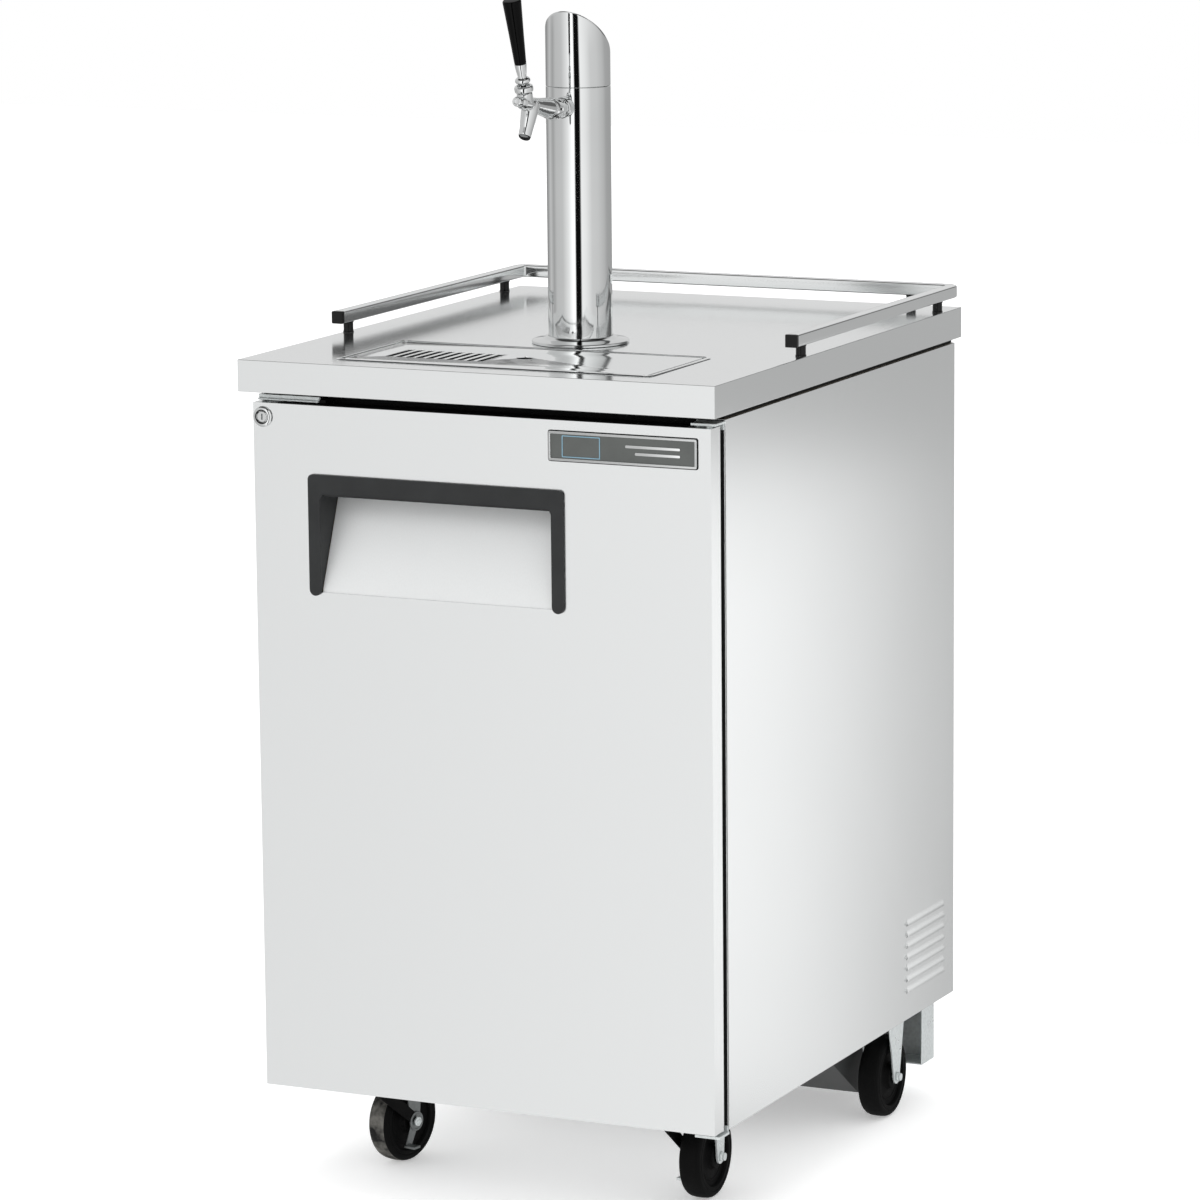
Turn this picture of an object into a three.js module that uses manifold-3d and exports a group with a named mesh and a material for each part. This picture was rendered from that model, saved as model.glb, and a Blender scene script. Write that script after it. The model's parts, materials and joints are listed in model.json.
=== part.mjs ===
// A single-tap direct-draw kegerator: a refrigerated cabinet for one keg on four casters, with a draught
// tower, a recessed drip tray and a gallery rail on its worktop.
// Millimetres. X is to the right, the door faces -Y, Z is up. The origin is on the floor under the worktop's
// centre.
import * as THREE from "three";
import { mergeVertices } from "three/addons/utils/BufferGeometryUtils.js";
import Module from "manifold-3d";

const wasm = await Module();
wasm.setup();

// ---------------------------------------------------------------- driving dimensions

const GAP = 0.3; // clearance between neighbouring pieces
const SHEET = 1.2; // thickness of the steel sheet

const COUNTER = { halfWidth: 303.5, halfDepth: 375, top: 997, bottom: 959.5, sheet: 1.5 };
const CABINET = { halfWidth: 297, front: -330, back: 369, bottom: 127, top: 953 };
const CAVITY = { halfWidth: 247, back: 322, floor: 172, ceiling: 918, kneeBack: 128, ledge: 432 };
const MACHINE = { halfWidth: 226, front: 167, back: 324, wall: 165, ceiling: 392 };
const LOUVRE = { front: 210, back: 330, lowest: 162, pitch: 14.2, count: 7, height: 10, proud: 4 };
const INLET = { x: -230, z: 152, bore: 4.5, radius: 14 };
const VENT = { width: 170, height: 10, lowest: 190, pitch: 30, rows: 6, columnX: 110 };

const TRAY = { x: 4, y: -247.5, width: 406, depth: 175, floor: 974.5, wall: SHEET };
const GRILLE = { halfWidth: 194.5, halfDepth: 78.5, bottom: 995.8, top: 997.8 };
const SLOT = { width: 7.5, front: -292, back: -226, first: -150, pitch: 13.1, count: 10 };
const FINGER_HOLE = { x: 6, y: -247, radius: 10 };
const DRAIN = { y: -225, radius: 9, bore: 6, bottom: 905 };

const RAIL = { size: 15, wall: 1.3, halfWidth: 295.8, back: 365.8, front: -136, z: 1018, corner: 9 };
const POST = { radius: 6.5, front: -112, rear: 314, backX: 240 };

const TOWER = { x: 4, y: -92, radius: 38.1, wall: 1.5, seam: 1301, frontTop: 1392, backTop: 1326 };
const FLANGE = { radius: 58, height: 8.5 };
const SHANK = { z: 1278, radius: 10, collar: 12.6, bore: 5, length: 78, tail: 14 };
const FAUCET = { tilt: -10, radius: 9.5, bore: 5.5, length: 103, spoutTip: [0, -76, -39] };
const LEVER = { y: -81.4, z: 8, lean: 25.7, ball: 6.6, stem: 3 };
const lean = THREE.MathUtils.degToRad(LEVER.lean);
const HANDLE = { bottomRadius: 6.9, topRadius: 11, start: 40, end: 117 };

const DOOR = { left: -290, right: 293.5, front: -363.5, back: -337.5, bottom: 127, top: 946.3 };
const PANEL_FRONT = DOOR.back - 1.8;
const PLUG = { halfWidth: 238, bottom: 181, top: 909, back: -305 };
const RECESS = { left: -206, right: 98, bottom: 727, top: 844, back: -316.5 };
const GRIP = { left: -218, right: 110, bottom: 723, top: 866, leg: 15, bar: 22, proud: 3.3 };
const SEAL = { left: -284, right: 285, bottom: 134, top: 936, width: 22 };
const LOCK = { x: -277, z: 930, bezel: 12, barrel: 9.5, plug: 6.2 };
const PLATE = { left: 92, right: 277, bottom: 900, top: 934, thick: 2.2 };
const HINGE = { x: 286, y: -350, pin: 4, leaf: 3 };

const EVAPORATOR = { halfWidth: 200, front: 196, back: 320.4, bottom: 742, top: 916.4 };
const EVAPORATOR_FAN = { x: -75, y: 210, z: 823, radius: 56, hub: 15, depth: 20 };
const COMPRESSOR = { x: -120, y: 266, radius: 56, height: 150 };
const CONDENSER = { left: 10, right: 200, front: 298, back: 321, bottom: 40, top: 300 };
const CONDENSER_FAN = { x: 105, y: 272, z: 170, radius: 78, hub: 18, depth: 24 };

const PAN = { halfWidth: 228, front: 73, toe: 222, back: 325, bottom: 24, sheet: 1.5 };
const CHANNEL = { halfWidth: 270, front: 330, back: 371, bottom: 37, sheet: 2 };

const WHEEL = { radius: 51, halfWidth: 13.5, hubRadius: 15, hubHalfWidth: 15.5, bore: 5.2 };
const FORK = { inside: 17.5, outside: 20, crown: 106, axleRadius: 4.8, axleEnd: 25.5 };
const SWIVEL = { x: 205, y: -229, trail: 36, leftTurn: -12 };
const RIGID = { x: 261, y: 220 };

// ---------------------------------------------------------------- finishes

const FINISHES = {
  stainless: { color: 0xdfe2e3, roughness: 0.32, metalness: 0.95 },
  chrome: { color: 0xe8ebec, roughness: 0.08, metalness: 1 },
  zinc: { color: 0xc3cdd2, roughness: 0.35, metalness: 0.9 },
  blackPlastic: { color: 0x373b3d, roughness: 0.55, metalness: 0 },
  glossBlack: { color: 0x0c0c0d, roughness: 0.15, metalness: 0 },
  rubber: { color: 0x17181a, roughness: 0.85, metalness: 0 },
  darkPaint: { color: 0x3f4345, roughness: 0.6, metalness: 0.2 },
  foam: { color: 0xe4d9b8, roughness: 0.95, metalness: 0 },
  liner: { color: 0xd6d9da, roughness: 0.4, metalness: 0.6 },
  board: { color: 0xb79a6c, roughness: 0.8, metalness: 0 },
  copper: { color: 0xb4703f, roughness: 0.35, metalness: 0.9 },
  plate: { color: 0x5a605c, roughness: 0.4, metalness: 0.3 },
  clearHose: { color: 0xcfd5d6, roughness: 0.3, metalness: 0 },
};

// ---------------------------------------------------------------- shapes, joins and cuts

const ALONG_X = new THREE.Matrix4().set(0, 0, 1, 0, 1, 0, 0, 0, 0, 1, 0, 0, 0, 0, 0, 1);
const ALONG_Y = new THREE.Matrix4().set(1, 0, 0, 0, 0, 0, -1, 0, 0, 1, 0, 0, 0, 0, 0, 1);

const span = (half, middle = 0) => [middle - half, middle + half];

function box([x0, x1], [y0, y1], [z0, z1]) {
  const block = new THREE.BoxGeometry(x1 - x0, y1 - y0, z1 - z0);
  return block.translate((x0 + x1) / 2, (y0 + y1) / 2, (z0 + z1) / 2);
}

// An outline, as [a, b] pairs or a THREE.Shape, extruded along an axis. It lies in the YZ, XZ or XY plane.
function prism(axis, outline, [from, to]) {
  const isList = Array.isArray(outline);
  const shape = isList ? new THREE.Shape(outline.map(([a, b]) => new THREE.Vector2(a, b))) : outline;
  const block = new THREE.ExtrudeGeometry(shape, { depth: to - from, bevelEnabled: false, curveSegments: 5 });
  if (axis === "x") return block.applyMatrix4(ALONG_X).translate(from, 0, 0);
  if (axis === "y") return block.applyMatrix4(ALONG_Y).translate(0, to, 0);
  return block.translate(0, 0, from);
}

function roundedRectangle([a0, a1], [b0, b1], radius) {
  const quarter = Math.PI / 2;
  const shape = new THREE.Shape();
  shape.absarc(a1 - radius, b1 - radius, radius, 0, quarter);
  shape.absarc(a0 + radius, b1 - radius, radius, quarter, 2 * quarter);
  shape.absarc(a0 + radius, b0 + radius, radius, 2 * quarter, 3 * quarter);
  shape.absarc(a1 - radius, b0 + radius, radius, 3 * quarter, 4 * quarter);
  return shape;
}

// A turned piece about +Z, from [radius, height] pairs that run upwards from the axis and back to it.
function turned(profile, segments = 32) {
  const points = profile.map(([r, z]) => new THREE.Vector2(r, z));
  return new THREE.LatheGeometry(points, segments).rotateX(Math.PI / 2);
}

// A turned ring from the inner radius to the outer one.
function ring(inner, outer, [z0, z1], segments = 32) {
  return turned([[inner, z0], [outer, z0], [outer, z1], [inner, z1], [inner, z0]], segments);
}

function cylinder(radius, [z0, z1], segments = 32) {
  return turned([[0, z0], [radius, z0], [radius, z1], [0, z1]], segments);
}

// Turns a piece made along +Z so that it points along a direction, from a start point.
function aim(geometry, start, direction) {
  const turn = new THREE.Quaternion().setFromUnitVectors(
    new THREE.Vector3(0, 0, 1),
    new THREE.Vector3(...direction).normalize(),
  );
  return geometry.applyQuaternion(turn).translate(...start);
}

// A round bar along a smooth curve through the points.
function sweep(points, radius, steps, sides = 8) {
  const circle = new THREE.Shape().absarc(0, 0, radius, 0, 2 * Math.PI);
  const path = new THREE.CatmullRomCurve3(points.map((p) => new THREE.Vector3(...p)));
  return new THREE.ExtrudeGeometry(circle, { steps, curveSegments: sides / 2, extrudePath: path });
}

// A mesh with shared vertices and without the zero-area triangles at a turned piece's poles, as a solid.
function solid(geometry) {
  const bare = geometry.clone();
  bare.deleteAttribute("normal");
  bare.deleteAttribute("uv");
  const welded = mergeVertices(bare, 1e-4);
  const index = welded.index.array;
  const kept = [];
  for (let i = 0; i < index.length; i += 3) {
    const [a, b, c] = index.slice(i, i + 3);
    if (a !== b && b !== c && c !== a) kept.push(a, b, c);
  }
  const vertProperties = Float32Array.from(welded.attributes.position.array);
  return new wasm.Manifold(new wasm.Mesh({ numProp: 3, vertProperties, triVerts: Uint32Array.from(kept) }));
}

function geometryOf(body) {
  const mesh = body.getMesh();
  const geometry = new THREE.BufferGeometry();
  geometry.setAttribute("position", new THREE.BufferAttribute(Float32Array.from(mesh.vertProperties), 3));
  geometry.setIndex(Array.from(mesh.triVerts));
  return geometry;
}

function join(first, ...rest) {
  return geometryOf(rest.reduce((sum, piece) => sum.add(solid(piece)), solid(first)));
}

function cut(base, ...tools) {
  return geometryOf(tools.reduce((left, tool) => left.subtract(solid(tool)), solid(base)));
}

const mirrorX = (geometry) => geometryOf(solid(geometry).mirror([1, 0, 0]));

// ---------------------------------------------------------------- the assembly's groups

const kegerator = new THREE.Group();

function place(position = [0, 0, 0], parent = kegerator, rotation = [0, 0, 0]) {
  const group = new THREE.Group();
  group.position.set(...position);
  group.rotation.set(...rotation.map(THREE.MathUtils.degToRad));
  parent.add(group);
  return group;
}

function add(parent, name, finish, geometry) {
  const mesh = new THREE.Mesh(geometry, new THREE.MeshStandardMaterial(FINISHES[finish]));
  mesh.name = name;
  parent.add(mesh);
}

// ---------------------------------------------------------------- cabinet

const insideWall = CABINET.halfWidth - SHEET - GAP;

// A pressed side panel with a bank of louvre hoods that open downwards.
function sidePanel() {
  const outer = CABINET.halfWidth;
  let panel = box([outer - SHEET, outer], [CABINET.front, CABINET.back], [CABINET.bottom, CABINET.top]);
  for (let row = 0; row < LOUVRE.count; row += 1) {
    const z = LOUVRE.lowest + row * LOUVRE.pitch;
    const root = outer - SHEET / 2;
    const lip = outer + LOUVRE.proud;
    const peak = z + LOUVRE.height;
    const hood = [[root, z], [lip, z], [root, peak]];
    const hollow = [[root - SHEET, z - 1], [lip - SHEET, z - 1], [root - SHEET, peak]];
    panel = join(panel, prism("y", hood, [LOUVRE.front, LOUVRE.back]));
    panel = cut(panel, prism("y", hollow, [LOUVRE.front + SHEET, LOUVRE.back - SHEET]));
  }
  return panel;
}

// The front jamb ring and the bottom sheet, folded from one blank, open above the machine pan.
function cabinetFrame() {
  const { front, bottom, top } = CABINET;
  const jamb = box(span(insideWall), [front, front + SHEET], [bottom, top]);
  const doorway = box(span(CAVITY.halfWidth), [front - 5, front + 5], [CAVITY.floor, CAVITY.ceiling]);
  const sheet = box(span(insideWall), [front, CABINET.back - SHEET - GAP], [bottom, bottom + SHEET]);
  const panMouth = box(span(MACHINE.halfWidth), [MACHINE.front, MACHINE.back], [bottom - 5, bottom + 5]);
  return cut(join(jamb, sheet), doorway, panMouth);
}

function rearPanel() {
  const depth = [CABINET.back - SHEET, CABINET.back];
  const panel = box(span(insideWall), depth, [CABINET.bottom, CABINET.top]);
  const slots = [-VENT.columnX, VENT.columnX].flatMap((x) =>
    Array.from({ length: VENT.rows }, (_, row) => {
      const z = VENT.lowest + row * VENT.pitch;
      return box(span(VENT.width / 2, x), [depth[0] - 5, depth[1] + 5], [z, z + VENT.height]);
    }),
  );
  const cordHole = aim(cylinder(INLET.bore, [-5, 5], 12), [INLET.x, depth[0], INLET.z], [0, 1, 0]);
  return cut(panel, ...slots, cordHole);
}

// The strain relief that the mains cord comes out of.
function mainsInlet() {
  const { bore, radius } = INLET;
  const profile = [[bore, 0], [radius, 0], [radius, 2.5], [9, 3.5], [8, 5.5], [bore, 5.5], [bore, 0]];
  return aim(turned(profile, 12), [INLET.x, CABINET.back + GAP, INLET.z], [0, 1, 0]);
}

// Foam in the walls: a block hollowed for the keg, for the evaporator above the ledge, and for the machine.
function cabinetInsulation() {
  const block = box(
    span(insideWall),
    [CABINET.front + SHEET + GAP, CABINET.back - SHEET - GAP],
    [CABINET.bottom + SHEET + GAP, CABINET.top - GAP],
  );
  const { halfWidth, floor, ledge, ceiling, kneeBack, back } = CAVITY;
  const knee = box(span(halfWidth), [CABINET.front - 5, kneeBack], [floor, ledge + 1]);
  const upper = box(span(halfWidth), [CABINET.front - 5, back], [ledge, ceiling]);
  const machine = box(span(310), [MACHINE.wall, 380], [100, MACHINE.ceiling]);
  return cut(block, knee, upper, machine, towerBore([900, 970]), drainBore([900, 970]));
}

const towerBore = (heights) => cylinder(28, heights, 24).translate(TOWER.x, TOWER.y, 0);
const drainBore = (heights) => cylinder(DRAIN.radius + 3, heights, 16).translate(TRAY.x, DRAIN.y, 0);

// The thin lining of the keg space, stepped over the machine compartment and open towards the door.
function interiorLiner() {
  const lining = (inset, front) => [
    [front, CAVITY.floor + inset],
    [CAVITY.kneeBack - inset, CAVITY.floor + inset],
    [CAVITY.kneeBack - inset, CAVITY.ledge + inset],
    [CAVITY.back - inset, CAVITY.ledge + inset],
    [CAVITY.back - inset, CAVITY.ceiling - inset],
    [front, CAVITY.ceiling - inset],
  ];
  const front = CABINET.front + SHEET + GAP;
  const outside = prism("x", lining(GAP, front), span(CAVITY.halfWidth - GAP));
  const inside = prism("x", lining(GAP + 1, front - 5), span(CAVITY.halfWidth - GAP - 1));
  return cut(outside, inside, towerBore([900, 970]), drainBore([900, 970]));
}

function frameRing([x, y, z], inset) {
  const outer = box(x, y, z);
  const inner = box([x[0] + inset, x[1] - inset], [y[0] + inset, y[1] - inset], [z[0] - 5, z[1] + 5]);
  return cut(outer, inner);
}

// ---------------------------------------------------------------- worktop

const towerHoleInSheet = (heights) => cylinder(30, heights, 24).translate(TOWER.x, TOWER.y, 0);

function trayOpening(clearance, heights) {
  const inset = 4 - clearance;
  const halfWidth = TRAY.width / 2 - inset;
  const halfDepth = TRAY.depth / 2 - inset;
  return box(span(halfWidth, TRAY.x), span(halfDepth, TRAY.y), heights);
}

// The folded sheet top: a shallow box open below, with the tray and tower openings.
function countertop() {
  const { halfWidth, halfDepth, top, bottom, sheet } = COUNTER;
  const outside = box(span(halfWidth), span(halfDepth), [bottom, top]);
  const inside = box(span(halfWidth - sheet), span(halfDepth - sheet), [bottom - 5, top - sheet]);
  return cut(outside, inside, trayOpening(0.5, [top - 5, top + 5]), towerHoleInSheet([top - 5, top + 5]));
}

function countertopCore() {
  const { halfWidth, halfDepth, top, bottom, sheet } = COUNTER;
  const inset = sheet + GAP;
  const board = box(span(halfWidth - inset), span(halfDepth - inset), [bottom, top - inset]);
  const recess = trayOpening(0.8, [TRAY.floor - GAP, top]);
  return cut(board, recess, towerHoleInSheet([950, top]), drainBore([950, top]));
}

// The pan hangs in the worktop by its rim. A ledge inside carries the grille, and a spout drains the floor.
function dripTrayPan() {
  const { x, y, width, depth, floor, wall } = TRAY;
  const ledge = 12;
  const step = 993;
  const level = (inset, heights) => box(span(width / 2 - inset, x), span(depth / 2 - inset, y), heights);
  const rim = level(0, [COUNTER.top + GAP, GRILLE.top + 0.5]);
  const upper = level(4, [step, GRILLE.top]);
  const lower = level(ledge, [floor, step + wall]);
  const spout = cylinder(DRAIN.radius, [DRAIN.bottom, floor + wall], 20).translate(x, DRAIN.y, 0);
  const body = join(upper, rim, lower, spout);
  const bore = cylinder(DRAIN.bore, [DRAIN.bottom - 5, floor + 5], 20).translate(x, DRAIN.y, 0);
  const ledgeTop = step + wall;
  return cut(body, level(5, [ledgeTop, 1010]), level(ledge + wall, [floor + wall, 1010]), bore);
}

// The lift-out grille: a group of slots on the left, and a finger hole under the tap.
function dripGrille() {
  const { halfWidth, halfDepth, bottom, top } = GRILLE;
  const plate = box(span(halfWidth, TRAY.x), span(halfDepth, TRAY.y), [bottom, top]);
  const slots = Array.from({ length: SLOT.count }, (_, i) => {
    const x = SLOT.first + i * SLOT.pitch;
    return box(span(SLOT.width / 2, x), [SLOT.front, SLOT.back], [bottom - 5, top + 5]);
  });
  const fingerHole = cylinder(FINGER_HOLE.radius, [bottom - 5, top + 5], 24);
  fingerHole.translate(FINGER_HOLE.x, FINGER_HOLE.y, 0);
  return cut(plate, ...slots, fingerHole);
}

// A square tube bent round three sides of the worktop, standing on its six posts.
function galleryRail() {
  const outline = (offset, front) => {
    const halfWidth = RAIL.halfWidth + offset;
    const back = RAIL.back + offset;
    const radius = RAIL.corner + offset;
    const shape = new THREE.Shape();
    shape.moveTo(halfWidth, front);
    shape.lineTo(halfWidth, back - radius);
    shape.absarc(halfWidth - radius, back - radius, radius, 0, Math.PI / 2);
    shape.absarc(-halfWidth + radius, back - radius, radius, Math.PI / 2, Math.PI);
    shape.lineTo(-halfWidth, front);
    return shape;
  };
  const layer = (offset, front, half) => prism("z", outline(offset, front), span(half, RAIL.z));
  const half = RAIL.size / 2;
  const bore = half - RAIL.wall;
  const bar = cut(layer(half, RAIL.front, half), layer(-half, RAIL.front - 5, half + 5));
  const hollow = cut(layer(bore, RAIL.front - 5, bore), layer(-bore, RAIL.front - 10, bore + 5));
  const sides = [-1, 1];
  const posts = sides.flatMap((side) => [
    railPost(side * RAIL.halfWidth, POST.front),
    railPost(side * RAIL.halfWidth, POST.rear),
    railPost(side * POST.backX, RAIL.back),
  ]);
  return join(cut(bar, hollow), ...posts);
}

function railPost(x, y) {
  const heights = [COUNTER.top + GAP, RAIL.z - RAIL.size / 2 + RAIL.wall / 2];
  return cylinder(POST.radius, heights, 12).translate(x, y, 0);
}

function railEndCap(side) {
  const half = RAIL.size / 2;
  const bore = half - RAIL.wall - GAP;
  const x = side * RAIL.halfWidth;
  const head = box(span(half, x), [RAIL.front - GAP - 5, RAIL.front - GAP], span(half, RAIL.z));
  const tail = box(span(bore, x), [RAIL.front - 2, RAIL.front + 12], span(bore, RAIL.z));
  return join(head, tail);
}

// ---------------------------------------------------------------- draught tower, in a group on its axis

function towerFlange() {
  const bore = TOWER.radius + GAP;
  const base = COUNTER.top + GAP;
  const { radius, height } = FLANGE;
  const profile = [
    [bore, base],
    [radius, base],
    [radius, base + 2.5],
    [radius - 2, base + 4],
    [bore + 8, base + 5],
    [bore + 3, base + height],
    [bore, base + height],
    [bore, base],
  ];
  return turned(profile, 32);
}

const shankHole = (radius) => aim(cylinder(radius, [20, 60], 24), [0, 0, SHANK.z], [0, -1, 0]);

function towerColumn() {
  const tube = ring(TOWER.radius - TOWER.wall, TOWER.radius, [COUNTER.top + GAP, TOWER.seam - GAP], 36);
  return cut(tube, shankHole(SHANK.radius + 0.5));
}

// The cap is a tube end closed by a plane that falls towards the back.
function towerCap() {
  const { radius, wall, seam, frontTop, backTop } = TOWER;
  const slope = (frontTop - backTop) / (2 * radius);
  const above = (drop) => {
    const low = backTop - drop - slope * (60 - radius);
    const high = frontTop - drop + slope * (60 - radius);
    return prism("x", [[-60, high], [60, low], [60, high + 50], [-60, high + 50]], span(60));
  };
  const lidThickness = wall * Math.hypot(1, slope);
  const outside = cut(cylinder(radius, [seam, frontTop + 10], 36), above(0));
  const inside = cut(cylinder(radius - wall, [seam - 5, frontTop + 10], 36), above(lidThickness));
  return cut(outside, inside);
}

// The threaded shank through the tower wall, with its outer collar and a hose tail inside.
function shank() {
  const { radius, bore, length, tail, z } = SHANK;
  const wallAt = tail + TOWER.radius;
  const collar = [wallAt + 1, wallAt + 11];
  const profile = [
    [bore, 0],
    [radius - 4, 0],
    [radius - 4, 16],
    [radius, 16],
    [radius, collar[0]],
    [SHANK.collar, collar[0]],
    [SHANK.collar, collar[1] - 2],
    [SHANK.collar - 1.4, collar[1]],
    [radius, collar[1]],
    [radius, length],
    [bore, length],
    [bore, 0],
  ];
  return aim(turned(profile, 18), [0, tail, z], [0, -1, 0]);
}

// The beer line, from the shank's tail down the middle of the tower and through the cabinet's ceiling.
function beerLine() {
  const start = SHANK.tail + GAP;
  const route = [
    [0, start, SHANK.z],
    [0, start + 6, SHANK.z],
    [0, start + 14, SHANK.z - 14],
    [0, 16, SHANK.z - 90],
    [0, 2, SHANK.z - 180],
    [0, 0, COUNTER.top],
    [0, 0, 900],
  ];
  return sweep(route, 6, 18);
}

// ---------------------------------------------------------------- faucet, in a group tilted up

function couplingNut() {
  const bore = FAUCET.radius + GAP;
  const mouth = SHANK.radius + 1;
  const back = -2;
  const front = 17;
  const profile = [
    [mouth, back],
    [12.6, back],
    [13, back + 2],
    [13, front - 3],
    [11.4, front],
    [bore, front],
    [bore, 2],
    [mouth, 2],
    [mouth, back],
  ];
  return aim(turned(profile, 18), [0, 0, 0], [0, -1, 0]);
}

// Barrel, lever boss and spout in one casting, bored for the valve shaft, the lever's ball and the beer.
function faucetBody() {
  const { radius, bore, length, spoutTip } = FAUCET;
  const back = 3.5;
  const barrelProfile = [[0, back], [radius, back], [radius, 90], [6.5, 97], [6.5, length], [0, length]];
  const barrel = aim(turned(barrelProfile, 20), [0, 0, 0], [0, -1, 0]);
  const spoutStart = [0, -61, 3];
  const reach = spoutTip.map((value, axis) => value - spoutStart[axis]);
  const spoutLength = Math.hypot(...reach);
  const spout = aim(turned([[0, 0], [9, 6], [7.3, spoutLength], [0, spoutLength]], 16), spoutStart, reach);
  const leverAxis = [0, -Math.sin(lean), Math.cos(lean)];
  const pivot = [0, LEVER.y, LEVER.z];
  const boss = aim(cylinder(8.6, [-6, 5], 20), pivot, leverAxis);
  const shaftBore = aim(cylinder(bore, [0, 88], 16), [0, 0, 0], [0, -1, 0]);
  const spoutBore = aim(cylinder(5.2, [2, spoutLength + 5], 16), spoutStart, reach);
  const ballSocket = aim(cylinder(7.2, [-8, 10], 16), pivot, leverAxis);
  return cut(join(barrel, spout, boss), shaftBore, spoutBore, ballSocket);
}

// The bonnet ring screws onto the lever boss and holds the lever's ball down.
function faucetBonnet() {
  const bore = 7.6;
  const seat = 5 + GAP;
  const end = 12.8;
  const profile = [
    [bore, seat],
    [10.2, seat],
    [10.9, 6.5],
    [10.9, 11.5],
    [10.2, end],
    [bore, end],
    [bore, seat],
  ];
  return turned(profile, 20);
}

// Ball, stem, collar and ferrule of the lever, with a finger that moves the valve shaft.
function tapLever() {
  const ball = new THREE.SphereGeometry(LEVER.ball, 12, 8);
  const finger = cylinder(1.8, [-10, 0], 8);
  const profile = [
    [0, 0],
    [LEVER.stem, 0],
    [LEVER.stem, 16],
    [5.5, 16],
    [8.5, 18],
    [8.5, 21],
    [7, 22.5],
    [4.6, 23],
    [7.2, HANDLE.start - GAP],
    [0, HANDLE.start - GAP],
  ];
  return join(turned(profile, 16), ball, finger);
}

function tapHandle() {
  const { bottomRadius, topRadius, start, end } = HANDLE;
  const profile = [[0, start], [bottomRadius, start], [topRadius, end - 2], [topRadius - 1.5, end], [0, end]];
  return turned(profile, 20);
}

// The rod that the lever's finger slides, with its seat washer behind the spout.
function valveShaft() {
  const rod = aim(cylinder(4.2, [22, 84], 16), [0, 0, 0], [0, -1, 0]);
  const washer = aim(cylinder(5.2, [22, 27], 16), [0, 0, 0], [0, -1, 0]);
  const notch = box(span(6), [-90, -74.2], [-2.6, 8]);
  return cut(join(rod, washer), notch);
}

// ---------------------------------------------------------------- door

function doorSkin() {
  const { left, right, front, back, bottom, top } = DOOR;
  const outside = box([left, right], [front, back], [bottom, top]);
  const cutter = [front - 5, front + 5];
  const inside = box([left + SHEET, right - SHEET], [front + SHEET, back + 5], [bottom + SHEET, top - SHEET]);
  const recess = box([RECESS.left - GAP, RECESS.right + GAP], cutter, [RECESS.bottom, RECESS.top + GAP]);
  const lockHole = aim(cylinder(LOCK.barrel + GAP, [-5, 5], 24), [LOCK.x, front, LOCK.z], [0, 1, 0]);
  const camSlot = box([LOCK.x - 5, LOCK.x + 20], [-347, back - 1], [top - 5, top + 5]);
  const pinHoles = [bottom, top].map((z) => hingeBore(0.6, [z - 5, z + 5]));
  return cut(outside, inside, recess, lockHole, camSlot, ...pinHoles);
}

function hingeBore(clearance, heights) {
  return cylinder(HINGE.pin + clearance, heights, 20).translate(HINGE.x, HINGE.y, 0);
}

// Depth of the handle recess's floor at a height: nothing at the bottom, deepest under the grip.
function recessFloor(z) {
  const share = (z - RECESS.bottom) / (RECESS.top - RECESS.bottom);
  return DOOR.front + share * (RECESS.back - DOOR.front);
}

// The sloping steel floor that the fingers slide up, with a lip behind the skin.
function handleRecess() {
  const skinBack = DOOR.front + SHEET + GAP;
  const thick = 1.5;
  const lip = RECESS.bottom - 12;
  const knee = RECESS.bottom + 3.7;
  const upper = RECESS.top - 3.7;
  const outline = [
    [skinBack, lip],
    [skinBack, knee],
    [recessFloor(upper), upper],
    [recessFloor(upper) + thick, upper],
    [skinBack + thick, knee - 0.7],
    [skinBack + thick, lip],
  ];
  return prism("x", outline, [RECESS.left + 3.1, RECESS.right - 3.1]);
}

// The black grip: a three-sided frame on the door's face with side cheeks and a top wall inside the recess.
function handleGrip() {
  const face = DOOR.front - GAP;
  const frame = prism("y", gripOutline(), [face - GRIP.proud, face]);
  const cheek = [
    [face, RECESS.bottom + GAP],
    [RECESS.back, RECESS.top],
    [face, RECESS.top],
  ];
  const overlap = 0.5;
  const leftCheek = prism("x", cheek.map(([y, z]) => [y - overlap, z]), [RECESS.left, RECESS.left + 2.8]);
  const rightCheek = prism("x", cheek.map(([y, z]) => [y - overlap, z]), [RECESS.right - 2.8, RECESS.right]);
  const roof = box([RECESS.left, RECESS.right], [face - overlap, RECESS.back], [RECESS.top - 3, RECESS.top]);
  return join(frame, leftCheek, rightCheek, roof);
}

function gripOutline() {
  const { left, right, bottom, top, leg, bar } = GRIP;
  const outer = 6;
  const inner = 8;
  const foot = leg / 2;
  const quarter = Math.PI / 2;
  const shape = new THREE.Shape();
  shape.absarc(right - outer, top - outer, outer, 0, quarter);
  shape.absarc(left + outer, top - outer, outer, quarter, 2 * quarter);
  shape.absarc(left + foot, bottom + foot, foot, 2 * quarter, 4 * quarter);
  shape.absarc(left + leg + inner, top - bar - inner, inner, 2 * quarter, quarter, true);
  shape.absarc(right - leg - inner, top - bar - inner, inner, quarter, 0, true);
  shape.absarc(right - foot, bottom + foot, foot, 2 * quarter, 4 * quarter);
  return shape;
}

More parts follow.
